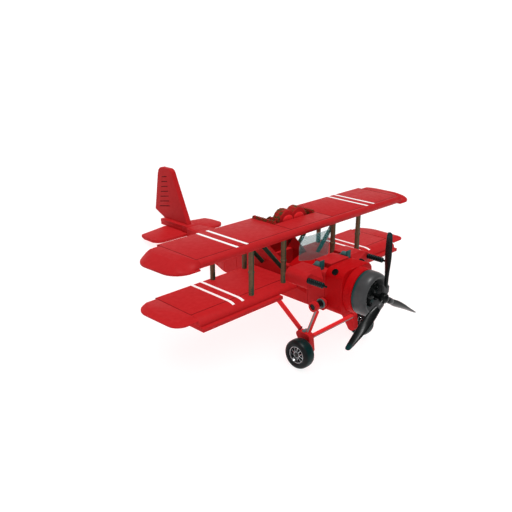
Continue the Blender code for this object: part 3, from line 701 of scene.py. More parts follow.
@dataclass
class LowerWing:
    """The lower wing: panels with deep rounded front edges, thin tips and the plates below."""

    top: float = 9.7
    low: float = 8.7
    front: float = -0.3
    seam: float = 1.3
    rear: float = 7.95
    root: float = 3.04
    half_span: float = 19.1
    tip_reach: float = 3.3
    tip_low: float = 9.35
    under_inner: float = 6.2
    under_front: float = -0.8
    under_rear: float = 5.2
    under_thick: float = 0.45
    stripe_x: tuple[float, ...] = (13.5, 12.0)
    stripe_width: float = 0.4

    def build(self) -> None:
        """Make the wing's pieces."""
        for side in Side:
            self.panel(side)
            self.tip(side)
            self.under_plate(side)
            self.stripes(side)
            lines = [seam_line((self.root, self.seam), (self.half_span, self.seam), self.top),
                     seam_line((self.half_span, self.seam), (self.half_span, self.rear - 0.05), self.top)]
            put("lower_seams_" + side.word, merged(lines).mirrored(side), SEAM_SHADE)

    def crown(self) -> Array:
        """The front edge's quarter oval, from the seam down to its foremost line."""
        drop = self.top - self.low - 0.05
        round_edge = arc((0.0, 0.0), 1.0, 90, 180, 14)
        return np.array([self.seam, self.top - drop]) + round_edge * np.array([self.seam - self.front, drop])

    def panel(self, side: Side) -> None:
        """The flat plate and the rounded edge before it, split at the seam."""
        plate = block((self.root, self.seam + SEAM, self.low), (self.half_span - SEAM / 2, self.rear, self.top), 0.04)
        view = np.concatenate([[(self.front, self.low), (self.seam, self.low)], self.crown()])
        edge = slab(view, Axis.X, self.root, self.half_span - SEAM / 2, 0.03)
        put("lower_panel_" + side.word, merged([plate, edge]).mirrored(side), RED,
            nodes=("lower_wing_" + side.word,))

    def tip(self, side: Side) -> None:
        """The thin tip."""
        plan = tip_plan(self.tip_reach, self.front + 0.15, self.rear, 1.5, 2.6)
        shell = tip_shell(plan, self.tip_low, self.tip_low + 0.12, self.top, 0.2)
        put("lower_wing_tip_" + side.word, shell.moved((self.half_span + SEAM, 0, 0)).mirrored(side), RED,
            nodes=("lower_tip_" + side.word,), sharp=30)

    def under_plate(self, side: Side) -> None:
        """The plate that stiffens the wing from below and shows as a lip before it."""
        top = self.low - SEAM
        shell = block((self.under_inner, self.under_front, top - self.under_thick),
                      (self.half_span, self.under_rear, top), 0.04)
        put("under_lip_" + side.word, shell.mirrored(side), RED, nodes=("under_plate_" + side.word,))

    def stripes(self, side: Side) -> None:
        """Two white bands from the rear edge to the middle of the rounded front."""
        crown = self.crown()
        section = np.concatenate([[(self.rear - 0.05, self.top), (self.seam + 0.05, self.top)], crown[1:7]])
        bands = [stripe(x, self.stripe_width, section) for x in self.stripe_x]
        put("lower_stripes_" + side.word, merged(bands).mirrored(side), WHITE)


# Rods between the wings

@dataclass
class WingRods:
    """Eight ribbed hoses between the wings and four bent braces to the fuselage."""

    foot: float = 9.74
    head: float = 15.56
    across: tuple[Pair, ...] = (("outer", 10.46), ("inner", 4.87))
    along: tuple[Pair, ...] = (("front", 0.47), ("rear", 7.45))
    radius: float = 0.34
    rib_pitch: float = 0.2
    rib_depth: float = 0.025
    # Height up from the foot over which one flank gets painted green shade
    foot_shade_height: float = 1.3
    brace_y: tuple[Pair, ...] = (("front", 2.05), ("rear", 5.7))
    brace_foot: Pair = (3.28, 10.75)
    brace_bend: Pair = (7.3, 15.05)
    brace_end: float = 8.6
    brace_radius: float = 0.28

    def build(self) -> None:
        """Make the hoses and the braces."""
        for side in Side:
            for place, x in self.across:
                for row, y in self.along:
                    self.hose(side, place, row, x, y)
            for row, y in self.brace_y:
                self.brace(side, row, y)

    def hose(self, side: Side, place: str, row: str, x: float, y: float) -> None:
        """One hose: its radius swells and shrinks as a cosine of the height, with a ring halfway."""
        height = self.head - self.foot
        count = int(height / self.rib_pitch) * 6
        sides = 24
        path = line((x, y, self.foot), (x, y, self.head), count)
        rise = path[:, 2] - self.foot
        ribs = self.radius - self.rib_depth * (0.5 - 0.5 * np.cos(2 * math.pi * rise / self.rib_pitch))
        middle = np.abs(rise - height / 2)
        shell = tube(path, np.where(middle < 0.1, self.radius + 0.05, ribs), sides).mirrored(side)
        out = shell.points - np.repeat(path * np.array([side.value, 1, 1]), sides, axis=0)
        # Painted dark green rim shade down both flanks seen side-on from the camera, and up from the foot on one of
        # them
        flank = (out[:, 0] - out[:, 1]) / (self.radius * math.sqrt(2))
        green = np.maximum(np.clip((flank - 0.45) / 0.2, 0, 0.85), np.clip((-flank - 0.8) / 0.1, 0, 0.8))
        foot = np.clip((self.foot_shade_height - (shell.points[:, 2] - self.foot)) / 0.6, 0, 0.75)
        node = "strut_%s_%s_%s" % (side.word, place, row)
        put(node.replace("strut", "hose"), shell, HOSE, nodes=(node,), sharp=50,
            tint=np.maximum(green, foot * (flank > 0)))

    def brace(self, side: Side, row: str, y: float) -> None:
        """One brace: it leans out from the fuselage, then bends level under the upper wing."""
        foot_x, foot_z = self.brace_foot
        bend_x, bend_z = self.brace_bend
        level = 15.6 - self.brace_radius - SEAM
        knots = [(foot_x, y, foot_z), ((foot_x + bend_x) / 2, y, (foot_z + bend_z) / 2), (bend_x, y, bend_z),
                 (bend_x + 0.5, y, level), (self.brace_end, y, level)]
        path = smooth(np.array(knots), 10)
        sides = 20
        shell = tube(path, self.brace_radius, sides).mirrored(side)
        out = shell.points - np.repeat(path * np.array([side.value, 1, 1]), sides, axis=0)
        node = "brace_%s_%s" % (side.word, row)
        # The upper side of each brace is painted light brown: painted highlight
        put(node.replace("brace", "lean_rod"), shell, GREEN, nodes=(node,), sharp=50,
            tint=np.clip(out[:, 2] / self.brace_radius - 0.3, 0, 0.7))


# Nose

@dataclass
class Nose:
    """Engine ring with the engine in it, and the cowl that turns from round to square."""

    thrust: float = 9.7
    radius: float = 2.78
    bore: float = 1.8
    ring_rear: float = -8.45
    ring_front: float = -10.3
    round_rear: float = -7.3
    block_rear: float = -4.69
    half: float = 3.0
    top: float = 12.6
    bottom: float = 6.75
    corner: float = 1.15
    stub: tuple[float, float, float] = (2.1, -5.95, 11.7)
    stub_radius: float = 0.42
    shaft_end: float = -10.81
    pins: int = 7

    def build(self) -> None:
        """Make the nose's pieces."""
        self.ring()
        self.engine()
        self.cowl()
        self.stubs()

    def ring(self) -> None:
        """The thick rounded ring: a half oval turned about the shaft, its rear rim painted with teal shade."""
        bend = (self.radius - self.bore) / 2
        middle = (self.radius + self.bore) / 2
        depth = self.ring_rear - self.ring_front
        angle = np.linspace(0, math.pi, 29)
        lip = np.stack([middle + bend * np.cos(angle),
                        self.ring_rear - depth * 0.45 - depth * 0.55 * np.sin(angle)], -1)
        side = np.stack([np.full(5, self.radius), np.linspace(self.ring_rear - 0.1, lip[0, 1], 6)[:5]], -1)
        profile = np.concatenate([[(self.radius - 0.1, self.ring_rear)], side, lip, [(self.bore, self.ring_rear)]])
        shell = lathe(profile, 96).moved((0, 0, self.thrust))
        behind = shell.points[:, 1] - (self.ring_rear - 0.45)
        put("nose_ring", shell, DARK, nodes=("engine_ring",), sharp=50, tint=np.clip(behind / 0.12, 0, 1))

    def engine(self) -> None:
        """The engine: a dome on the shaft with rounded pins standing round it."""
        rear = self.ring_rear - 0.05
        reach = self.bore - 0.04
        rise = np.radians(np.linspace(0, 80, 14))
        dome = np.stack([1.05 * np.cos(rise), rear - 0.35 - 1.05 * np.sin(rise)], -1)
        profile = np.concatenate([[(0.0, rear), (reach, rear), (reach, rear - 0.3), (1.05, rear - 0.35)], dome,
                                  [(0.3, rear - 1.5), (0.3, self.shaft_end), (0.0, self.shaft_end)]])
        put("engine_case", lathe(profile, 56).moved((0, 0, self.thrust)), BLACK, nodes=("engine_dome",), sharp=50)
        cap = np.radians(np.linspace(0, 90, 7))
        knob = np.concatenate([[(0.0, rear - 0.31), (0.3, rear - 0.31)],
                               np.stack([0.3 * np.cos(cap), rear - 0.85 - 0.28 * np.sin(cap)], -1)[:-1],
                               [(0.0, rear - 1.13)]])
        turn = 2 * math.pi * (np.arange(self.pins) + 0.5) / self.pins
        pins = [lathe(knob, 20).moved((1.4 * math.sin(t), 0, self.thrust + 1.4 * math.cos(t))) for t in turn]
        put("engine_pins", merged(pins), BLACK, sharp=50)

    def cowl(self) -> None:
        """The round barrel and the block with round corners behind it."""
        front = self.ring_rear + 0.04
        profile = np.array([(self.radius - 0.6, front), (self.radius - 0.05, front), (self.radius + 0.02, front + 0.06),
                            (self.radius + 0.08, front + 0.5), (self.radius + 0.12, self.round_rear - SEAM - 0.05),
                            (self.radius + 0.07, self.round_rear - SEAM), (self.radius - 0.6, self.round_rear - SEAM)])
        barrel = lathe(profile, 96).moved((0, 0, self.thrust))
        section = rounded([(-self.half, self.bottom, self.corner), (self.half, self.bottom, self.corner),
                           (self.half, self.top, self.corner), (-self.half, self.top, self.corner)], 12)
        body = slab(section, Axis.Y, self.round_rear, self.block_rear, 0.06)
        # The cowl wears the darker copy of the red: painted shade
        put("cowl_barrel", merged([barrel, body]), SHADED_RED, nodes=("cowl",), sharp=30)

    def stubs(self) -> None:
        """A black stub on each upper corner, leaning half over: eight sides, a rim and a hole."""
        radius = self.stub_radius
        profile = np.array([(0.0, 0.1), (radius, 0.1), (radius, 0.92), (radius - 0.06, 0.98), (0.24, 0.98),
                            (0.2, 0.9), (0.0, 0.9)])
        for side in Side:
            lean = math.radians(45)
            turn = np.array([[math.cos(lean), 0, math.sin(lean)], [0, 1, 0], [-math.sin(lean), 0, math.cos(lean)]])
            shell = lathe(profile, 16, Axis.Z).turned(turn).moved(self.stub)
            put("corner_stub_" + side.word, shell.mirrored(side), BLACK, sharp=30)


# Propeller

@dataclass
class Propeller:
    """Hub and three twisted blades on the shaft, each with a grey sleeve at its root."""

    place: tuple[float, float, float] = (0.0, -11.3, 9.7)
    blades: int = 3
    around: int = 28
    ahead: float = -0.1
    # Distance from the shaft past which the blades get painted teal shade
    tip_shade_from: float = 7.3
    # Each station: distance from the shaft, half width, half thickness, pitch in degrees
    stations: tuple[tuple[float, float, float, float], ...] = (
        (0.3, 0.26, 0.24, 40), (1.0, 0.33, 0.22, 40), (1.9, 0.45, 0.22, 42), (2.8, 0.55, 0.22, 46),
        (4.2, 0.60, 0.2, 60), (5.2, 0.58, 0.18, 71), (6.2, 0.52, 0.16, 78), (7.0, 0.46, 0.15, 83),
        (7.8, 0.38, 0.12, 88), (8.1, 0.28, 0.09, 88), (8.2, 0.12, 0.05, 88))

    def build(self) -> None:
        """Make the hub and the blades as one turning piece, and the sleeves as another."""
        turns = 2 * math.pi * np.arange(self.blades) / self.blades
        shell = merged([lathe(self.hub_profile(), 40)] + [self.blade().turned(self.spin(turn)) for turn in turns])
        far = np.hypot(shell.points[:, 0], shell.points[:, 2])
        # The blade tips are painted teal shade
        put("air_screw", shell.moved(self.place), BLACK, Body.PROPELLER, ("propeller",), 50,
            tint=np.clip((far - self.tip_shade_from) / 0.4, 0, 1))
        sleeve = np.array([(0.0, 0.85), (0.35, 0.85), (0.39, 0.9), (0.39, 1.6), (0.35, 1.66), (0.0, 1.66)])
        sleeves = [lathe(sleeve, 28, Axis.Z).moved((0.0, self.ahead, 0.0)).turned(self.spin(turn)) for turn in turns]
        put("blade_sleeves", merged(sleeves).moved(self.place), DARK, Body.PROPELLER, sharp=40)

    @staticmethod
    def hub_profile() -> Array:
        """The hub: a nose cone with a step, then a drum."""
        return np.array([(0.0, -0.55), (0.2, -0.54), (0.3, -0.5), (0.34, -0.42), (0.5, -0.33), (0.57, -0.26),
                         (0.6, -0.15), (0.6, 0.4), (0.56, 0.45), (0.0, 0.45)])

    @staticmethod
    def spin(turn: float) -> Array:
        """The 3 by 3 matrix of a turn about the shaft."""
        return np.array([[math.cos(turn), 0, math.sin(turn)], [0, 1, 0], [-math.sin(turn), 0, math.cos(turn)]])

    def blade(self) -> Shell:
        """The upright blade.

        Its width, thickness and pitch p run smoothly through the stations.  A point of the oval
        section at (a, d) lies at a cos p - d sin p across and at a sin p + d cos p along the shaft.

        Returns:
            The closed blade.
        """
        far, width, thick, pitch = (column[:, None] for column in smooth(np.array(self.stations), 6).T)
        pitch = np.radians(pitch)
        angle = 2 * math.pi * np.arange(self.around) / self.around
        across = width * np.cos(angle)
        deep = thick * np.sin(angle)
        return skin(np.stack([across * np.cos(pitch) - deep * np.sin(pitch),
                              self.ahead + across * np.sin(pitch) + deep * np.cos(pitch),
                              np.broadcast_to(far, across.shape)], -1))


# Fuselage

def hull_section(half: float, low: float, high: float, corner: float) -> Array:
    """A fuselage section: square below, its top corners rounded."""
    return np.concatenate([[(-half, low), (half, low)], arc((half - corner, high - corner), corner, 0, 90, 8),
                           arc((corner - half, high - corner), corner, 90, 180, 8)])


@dataclass
class Fuselage:
    """Front body, cockpit tub, tapered rear body in bricks, the decks and the coaming."""

    half: float = 3.0
    belly: float = 6.9
    body_top: float = 12.0
    block_rear: float = -4.65
    tub_front: float = -2.0
    tub_rear: float = 9.0
    tub_top: float = 11.3
    crown: float = 12.3
    crown_rear: float = 1.2
    # Each station: distance aft, half width, belly, top, corner radius
    stations: tuple[tuple[float, ...], ...] = (
        (9.04, 3.0, 6.9, 11.3, 0.5), (13.6, 3.0, 7.0, 11.2, 0.5), (17.0, 2.4, 7.6, 11.1, 0.5),
        (24.06, 1.25, 8.95, 10.9, 0.4))
    joints: tuple[float, ...] = (9.04, 11.0, 13.6, 15.3, 17.0, 19.0, 21.5, 24.06)

    def build(self) -> None:
        """Make the fuselage's pieces."""
        front = slab(hull_section(self.half, self.belly, self.body_top, 0.3), Axis.Y, self.block_rear,
                     self.tub_front - 0.04, 0.05)
        put("front_hull", front, RED, nodes=("body_front",))
        plate = block((-1.8, self.block_rear + 0.1, self.body_top + 0.04), (1.8, self.tub_front - 0.04, 12.7), 0.05)
        put("nose_deck", plate, RED, nodes=("deck_plate",))
        # The deck under the screen wears the darker copy of the red: painted shade
        put("screen_deck", slab(self.deck_outline(), Axis.Y, self.tub_front, self.crown_rear, 0.04), SHADED_RED,
            nodes=("front_deck",))
        # A thin darker triangle on each side: a painted shade patch for the dark recess there
        wedge = slab(np.array([(-1.78, 8.3), (-0.16, 8.65), (-1.78, 9.2)]), Axis.X, self.half - 0.02, self.half + 0.02,
                     0.005, 1)
        for side in Side:
            put("side_wedge_" + side.word, wedge.mirrored(side), SHADED_RED)
        self.rear()

    def rear(self) -> None:
        """The tapered rear body: bricks lofted between the joints, with fine seams left open."""
        table = np.array(self.stations)
        bricks = []
        for start, stop in zip(self.joints, self.joints[1:]):
            levels = np.array([start, start + 0.05, stop - SEAM - 0.05, stop - SEAM])
            sizes = np.stack([np.interp(levels, table[:, 0], table[:, i]) for i in range(1, 5)], -1)
            draw = np.array([0.04, 0.0, 0.0, 0.04])
            flat = np.stack([hull_section(half - d, low + d, high - d, corner)
                             for (half, low, high, corner), d in zip(sizes, draw)])
            level = np.broadcast_to(levels[:, None, None], (*flat.shape[:2], 1))
            bricks.append(skin(np.insert(flat, [1], level, axis=2)))
        put("rear_hull", merged(bricks), RED, nodes=("body_rear",))

    def deck_outline(self) -> Array:
        """Section of the rounded deck under the windscreen: a flat foot and a low arc."""
        foot = self.tub_top + 0.04
        shoulder = foot + 0.1
        rise = self.crown - shoulder
        radius = (self.half ** 2 + rise ** 2) / (2 * rise)
        swing = math.degrees(math.asin(self.half / radius))
        return np.concatenate([[(-self.half, foot), (self.half, foot)],
                               arc((0.0, self.crown - radius), radius, 90 - swing, 90 + swing, 28)])


# Windscreen and cockpit

@dataclass
class Windscreen:
    """The bent clear screen: a middle pane and two slanted side panes with clipped upper corners."""

    foot: float = 12.34
    bend: Pair = (1.57, -1.4)
    end: Pair = (3.0, -0.45)
    thick: float = 0.12
    side_top: float = 15.5
    middle_top: float = 15.65
    clip_from: float = 1.8
    clip_top: float = 14.2
    rim: float = 0.09
    # Stations from the middle: 1 is the bend, 2 the outer edge
    stations: tuple[float, ...] = (0.0, 0.5, 0.96, 1.0, 1.04, 1.4, 1.8, 1.9, 1.96, 2.0)

    def build(self) -> None:
        """Make the screen as one bent sheet, with a painted pale highlight along its rims."""
        half = np.array(self.stations)
        place = np.concatenate([-half[:0:-1], half])
        knots = [-2.0, -1.0, 1.0, 2.0]
        outer = self.plan(place, knots, 0.0)
        inner = self.plan(place, knots, self.thick)
        top = np.interp(np.abs(place), [0.0, 1.0, self.clip_from, 2.0],
                        [self.middle_top, self.middle_top, self.side_top, self.clip_top])
        # Round one section: share of the thickness, and drop below the upper rim
        across = np.array([0.0, 0.0, 0.0, 0.25, 0.75, 1.0, 1.0, 1.0])[None, :, None]
        drop = np.array([np.inf, self.rim, 0.03, 0.0, 0.0, 0.03, self.rim, np.inf])
        flat = outer[:, None] * (1 - across) + inner[:, None] * across
        height = np.maximum(top[:, None] - drop[None], self.foot)
        shell = skin(np.concatenate([flat, height[..., None]], -1))
        pale = np.maximum(drop[None] < self.rim, np.abs(place)[:, None] > 1.97)
        put("clear_screen", shell, CLEAR, nodes=("windscreen",), sharp=20, tint=pale.ravel())

    def plan(self, place: Array, knots: list[float], depth: float) -> Array:
        """Plan of the sheet's outer or inner face at each station."""
        end_x, end_y = self.end[0] - depth, self.end[1] + depth
        bend_x, bend_y = self.bend[0] - 0.4 * depth, self.bend[1] + depth
        return np.stack([np.interp(place, knots, [-end_x, -bend_x, bend_x, end_x]),
                         np.interp(place, knots, [end_y, bend_y, bend_y, end_y])], -1)


@dataclass
class Cockpit:
    """The open tub, its seat, the coaming wedges and the double-humped headrest."""

    floor: float = 8.54
    foot: float = 11.34
    half: float = 1.7
    lobe_x: float = 1.1
    lobe_z: float = 16.4
    lobe_radius: float = 1.4
    hump_low: float = 15.0
    hump_front: float = 3.3
    hump_rear: float = 4.7
    # Side view of the stalk: distance aft, height, corner radius
    stalk: tuple[tuple[float, float, float], ...] = (
        (8.9, 11.34, 0.05), (8.7, 12.6, 0.3), (7.0, 13.6, 0.4), (5.2, 14.9, 0.3), (4.5, 15.6, 0.1),
        (3.6, 15.6, 0.1), (3.6, 14.8, 0.1), (4.6, 13.9, 0.3), (5.6, 12.6, 0.4), (5.75, 11.34, 0.05))
    rail_x: tuple[Pair, ...] = ((3.5, 3.96), (2.45, 2.85))
    rail_y: tuple[Pair, ...] = ((3.0, 6.95), (3.4, 5.4))
    rail_z: Pair = (16.05, 16.72)
    rail_pitch: float = 0.36

    def build(self) -> None:
        """Dress the tub and make what stands in and behind it."""
        dress("cockpit_tub", RED)
        seat = merged([block((-1.2, 3.9, self.floor), (1.2, 5.3, 9.05), 0.12, 0.25),
                       block((-1.05, 4.95, 9.0), (1.05, 5.28, 9.2), 0.06, 0.1)])
        put("seat_pad", seat, HOSE, nodes=("seat",))
        self.headrest()
        for side in Side:
            self.coaming(side)
            self.rails(side)

    def headrest(self) -> None:
        """The stalk, the two lobes on it and the mottled bands round their crowns."""
        stalk = slab(rounded(list(self.stalk), 4), Axis.X, -self.half, self.half, 0.1)
        meet = math.degrees(math.acos(self.lobe_x / self.lobe_radius))
        lobes = np.concatenate([
            [(-self.lobe_x, self.hump_low), (self.lobe_x, self.hump_low)],
            arc((self.lobe_x, self.lobe_z), self.lobe_radius, -60, 180 - meet, 30),
            arc((-self.lobe_x, self.lobe_z), self.lobe_radius, meet, 240, 30)[1:]])
        hump = slab(lobes, Axis.Y, self.hump_front, self.hump_rear, 0.12)
        put("head_hump", merged([stalk, hump]), RED, nodes=("headrest",))
        # Oval pads on the lobes' front faces, in the lighter red: painted light on faces that sit low in the notch
        rise = np.radians(np.linspace(-90, 90, 21))
        ball = lathe(np.stack([np.cos(rise) * (np.abs(rise) < 1.57), np.sin(rise)], -1), 32)
        pads = [Shell(ball.points * np.array([1.0, 0.3, 0.7]), ball.faces).moved((sign, self.hump_front + 0.02, 16.45))
                for sign in (-1.05, 1.05)]
        put("hump_pads", merged(pads), LIT_HUMP_RED, sharp=60)
        bands = [self.band(sign, -50 if sign > 0 else meet, 180 - meet if sign > 0 else 230) for sign in (1, -1)]
        put("hump_trim", merged(bands), RED_MOTTLED, sharp=50)

    def band(self, sign: int, start: float, stop: float) -> Shell:
        """A thin mottled band round one lobe, knobbly by a cosine of the angle."""
        angle = np.radians(np.linspace(start, stop, 91))
        low, high = self.lobe_radius - 0.05, self.lobe_radius + 0.03 + 0.025 * np.cos(16 * angle)
        radius = np.stack([np.full(len(angle), low), high, high, np.full(len(angle), low)], -1)
        level = np.broadcast_to([self.hump_front + 0.1, self.hump_front + 0.1, self.hump_rear - 0.1,
                                 self.hump_rear - 0.1], radius.shape)
        return skin(np.stack([sign * self.lobe_x + radius * np.cos(angle)[:, None], level,
                              self.lobe_z + radius * np.sin(angle)[:, None]], -1))

    def coaming(self, side: Side) -> None:
        """The bright wedge that rises along the cockpit's side."""
        low = np.array([(3.0, 3.4, 11.02), (3.0, 7.5, 11.3), (2.98, 7.5, 11.66), (2.98, 4.0, 11.1)])
        high = np.array([(2.3, 2.6, 11.3), (2.3, 7.5, 11.3), (2.5, 5.5, 12.9), (2.55, 5.1, 12.9)])
        put("side_coaming_" + side.word, skin(np.stack([low, high])).mirrored(side), RED)

    def rails(self, side: Side) -> None:
        """Ribbed rails that lie along the notch in the upper wing."""
        shells = []
        for (inner, outer), (front, rear) in zip(self.rail_x, self.rail_y):
            shells.append(block((inner, front, self.rail_z[0]), (outer, rear, self.rail_z[1]), 0.06))
            ribs = np.arange(front + 0.1, rear - 0.2, self.rail_pitch)
            shells += [block((inner - 0.04, y, self.rail_z[1] - 0.1), (outer, y + 0.18, self.rail_z[1] + 0.2), 0.05)
                       for y in ribs]
        shells.append(block((2.85, 3.0, self.rail_z[0]), (3.5, 3.3, self.rail_z[0] + 0.4), 0.05))
        put("notch_rails_" + side.word, merged(shells).mirrored(side), RED_MOTTLED)


def dress(node: str, finish: Finish) -> None:
    """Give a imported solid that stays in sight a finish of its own.

    Args:
        node: The solid's node.
        finish: The finish for every one of its material slots.
    """
    for place in bpy.data.objects[node].material_slots:
        place.material = finish.material()
    LOG.info("%s: kept, %s", node, finish.name)


# Guns and taps

@dataclass
class Guns:
    """On each side a rounded box on the front body's side, its ribbed barrel, and a tap on the shoulder."""

    inner: float = 3.04
    half: float = 6.3
    low: float = 10.65
    top: float = 12.45
    keel: float = 0.4
    crown: float = 0.85
    front: float = -4.5
    rear: float = -1.15
    facet_y: float = -3.9
    facet_z: float = 11.1
    muzzle_x: float = 6.0
    muzzle_z: float = 11.75
    ribs: int = 8
    length: float = 2.3
    thick: float = 0.36
    thin: float = 0.29

    def build(self) -> None:
        """Make both sides."""
        for side in Side:
            self.box(side)
            self.barrel(side)
            self.tap(side)

    def section(self) -> Array:
        """Section of the box: flat below and above, a narrow round under a wide round shoulder."""
        return np.concatenate([
            [(self.inner, self.low)], arc((self.half - self.keel, self.low + self.keel), self.keel, -90, 0, 8),
            arc((self.half - self.crown, self.top - self.crown), self.crown, 0, 90, 14), [(self.inner, self.top)]])

    def box(self, side: Side) -> None:
        """The box: its section carried along y, its inner top corner drawn down at the front as a facet."""
        full = self.section()
        cut = full.copy()
        cut[-1, 1] = self.facet_z
        edge = np.array([0.05, 0.015, 0.0])
        front = inset(cut, edge)
        back = inset(full, np.array([0.0, 0.0, 0.015, 0.05]))
        flat = np.concatenate([front, back])
        level = np.array([self.front, self.front + 0.015, self.front + 0.05, self.facet_y, self.rear - 0.05,
                          self.rear - 0.015, self.rear])
        level = np.broadcast_to(level[:, None, None], (*flat.shape[:2], 1))
        put("root_box_" + side.word, skin(np.insert(flat, [1], level, axis=2)).mirrored(side), RED,
            nodes=("gun_box_" + side.word,), sharp=25)

    def barrel(self, side: Side) -> None:
        """The barrel: round ribs by the square root of a sine, then a thin muzzle with a bore."""
        along = np.linspace(0, self.length, self.ribs * 12 + 1)
        wave = np.sqrt(np.abs(np.sin(math.pi * along * self.ribs / self.length)))
        radius = self.thin + (self.thick - self.thin) * wave
        profile = np.concatenate([[(0.0, 0.0)], np.stack([radius, -along], -1),
                                  [(0.14, -self.length - 0.02), (0.14, -self.length - 0.46),
                                   (0.11, -self.length - 0.5), (0.07, -self.length - 0.5),
                                   (0.06, -self.length - 0.3), (0.0, -self.length - 0.3)]])
        shell = lathe(profile, 32).moved((self.muzzle_x, self.front - 0.04, self.muzzle_z))
        # The valleys between the ribs are painted teal shade
        out = np.hypot(shell.points[:, 0] - self.muzzle_x, shell.points[:, 2] - self.muzzle_z)
        put("gun_barrel_" + side.word, shell.mirrored(side), BLACK, nodes=("gun_" + side.word,), sharp=50,
            tint=np.clip((self.thick - out) / 0.05, 0, 1) * (out > 0.2))

    def tap(self, side: Side) -> None:
        """A small grey tap on the front body's shoulder: a round boss, a slanted leaf and a plate."""
        boss = lathe(np.array([(0.0, -0.5), (0.3, -0.5), (0.42, -0.4), (0.42, 0.35), (0.36, 0.42), (0.0, 0.42)]), 28)
        leaf = tube(np.array([(0.0, 1.35, -0.75), (0.0, 1.1, -0.6), (0.0, 0.7, -0.35), (0.0, 0.3, -0.1)]),
                    np.array([0.05, 0.16, 0.28, 0.36]), 16)
        plate = slab(rounded([(-0.62, -0.8, 0.1), (-0.5, -0.8, 0.1), (-0.5, 0.7, 0.05), (-0.62, 0.7, 0.05)], 3), Axis.X,
                     -0.42, 0.42, 0.03)
        foot = block((-0.25, -0.3, -0.75), (0.25, 0.3, -0.2), 0.04)
        shell = merged([boss, leaf, plate, foot]).moved((2.65, -3.3, 12.5))
        # Share of painted teal shade on the boss, the leaf, the plate and the foot
        tint = np.concatenate([np.full(len(piece.points), value) for piece, value in
                               ((boss, 0.55), (leaf, 0.6), (plate, 1.0), (foot, 1.0))])
        put("shoulder_tap_" + side.word, shell.mirrored(side), GREY_IN_TEAL_SHADE, tint=tint)


# Gear and wheels

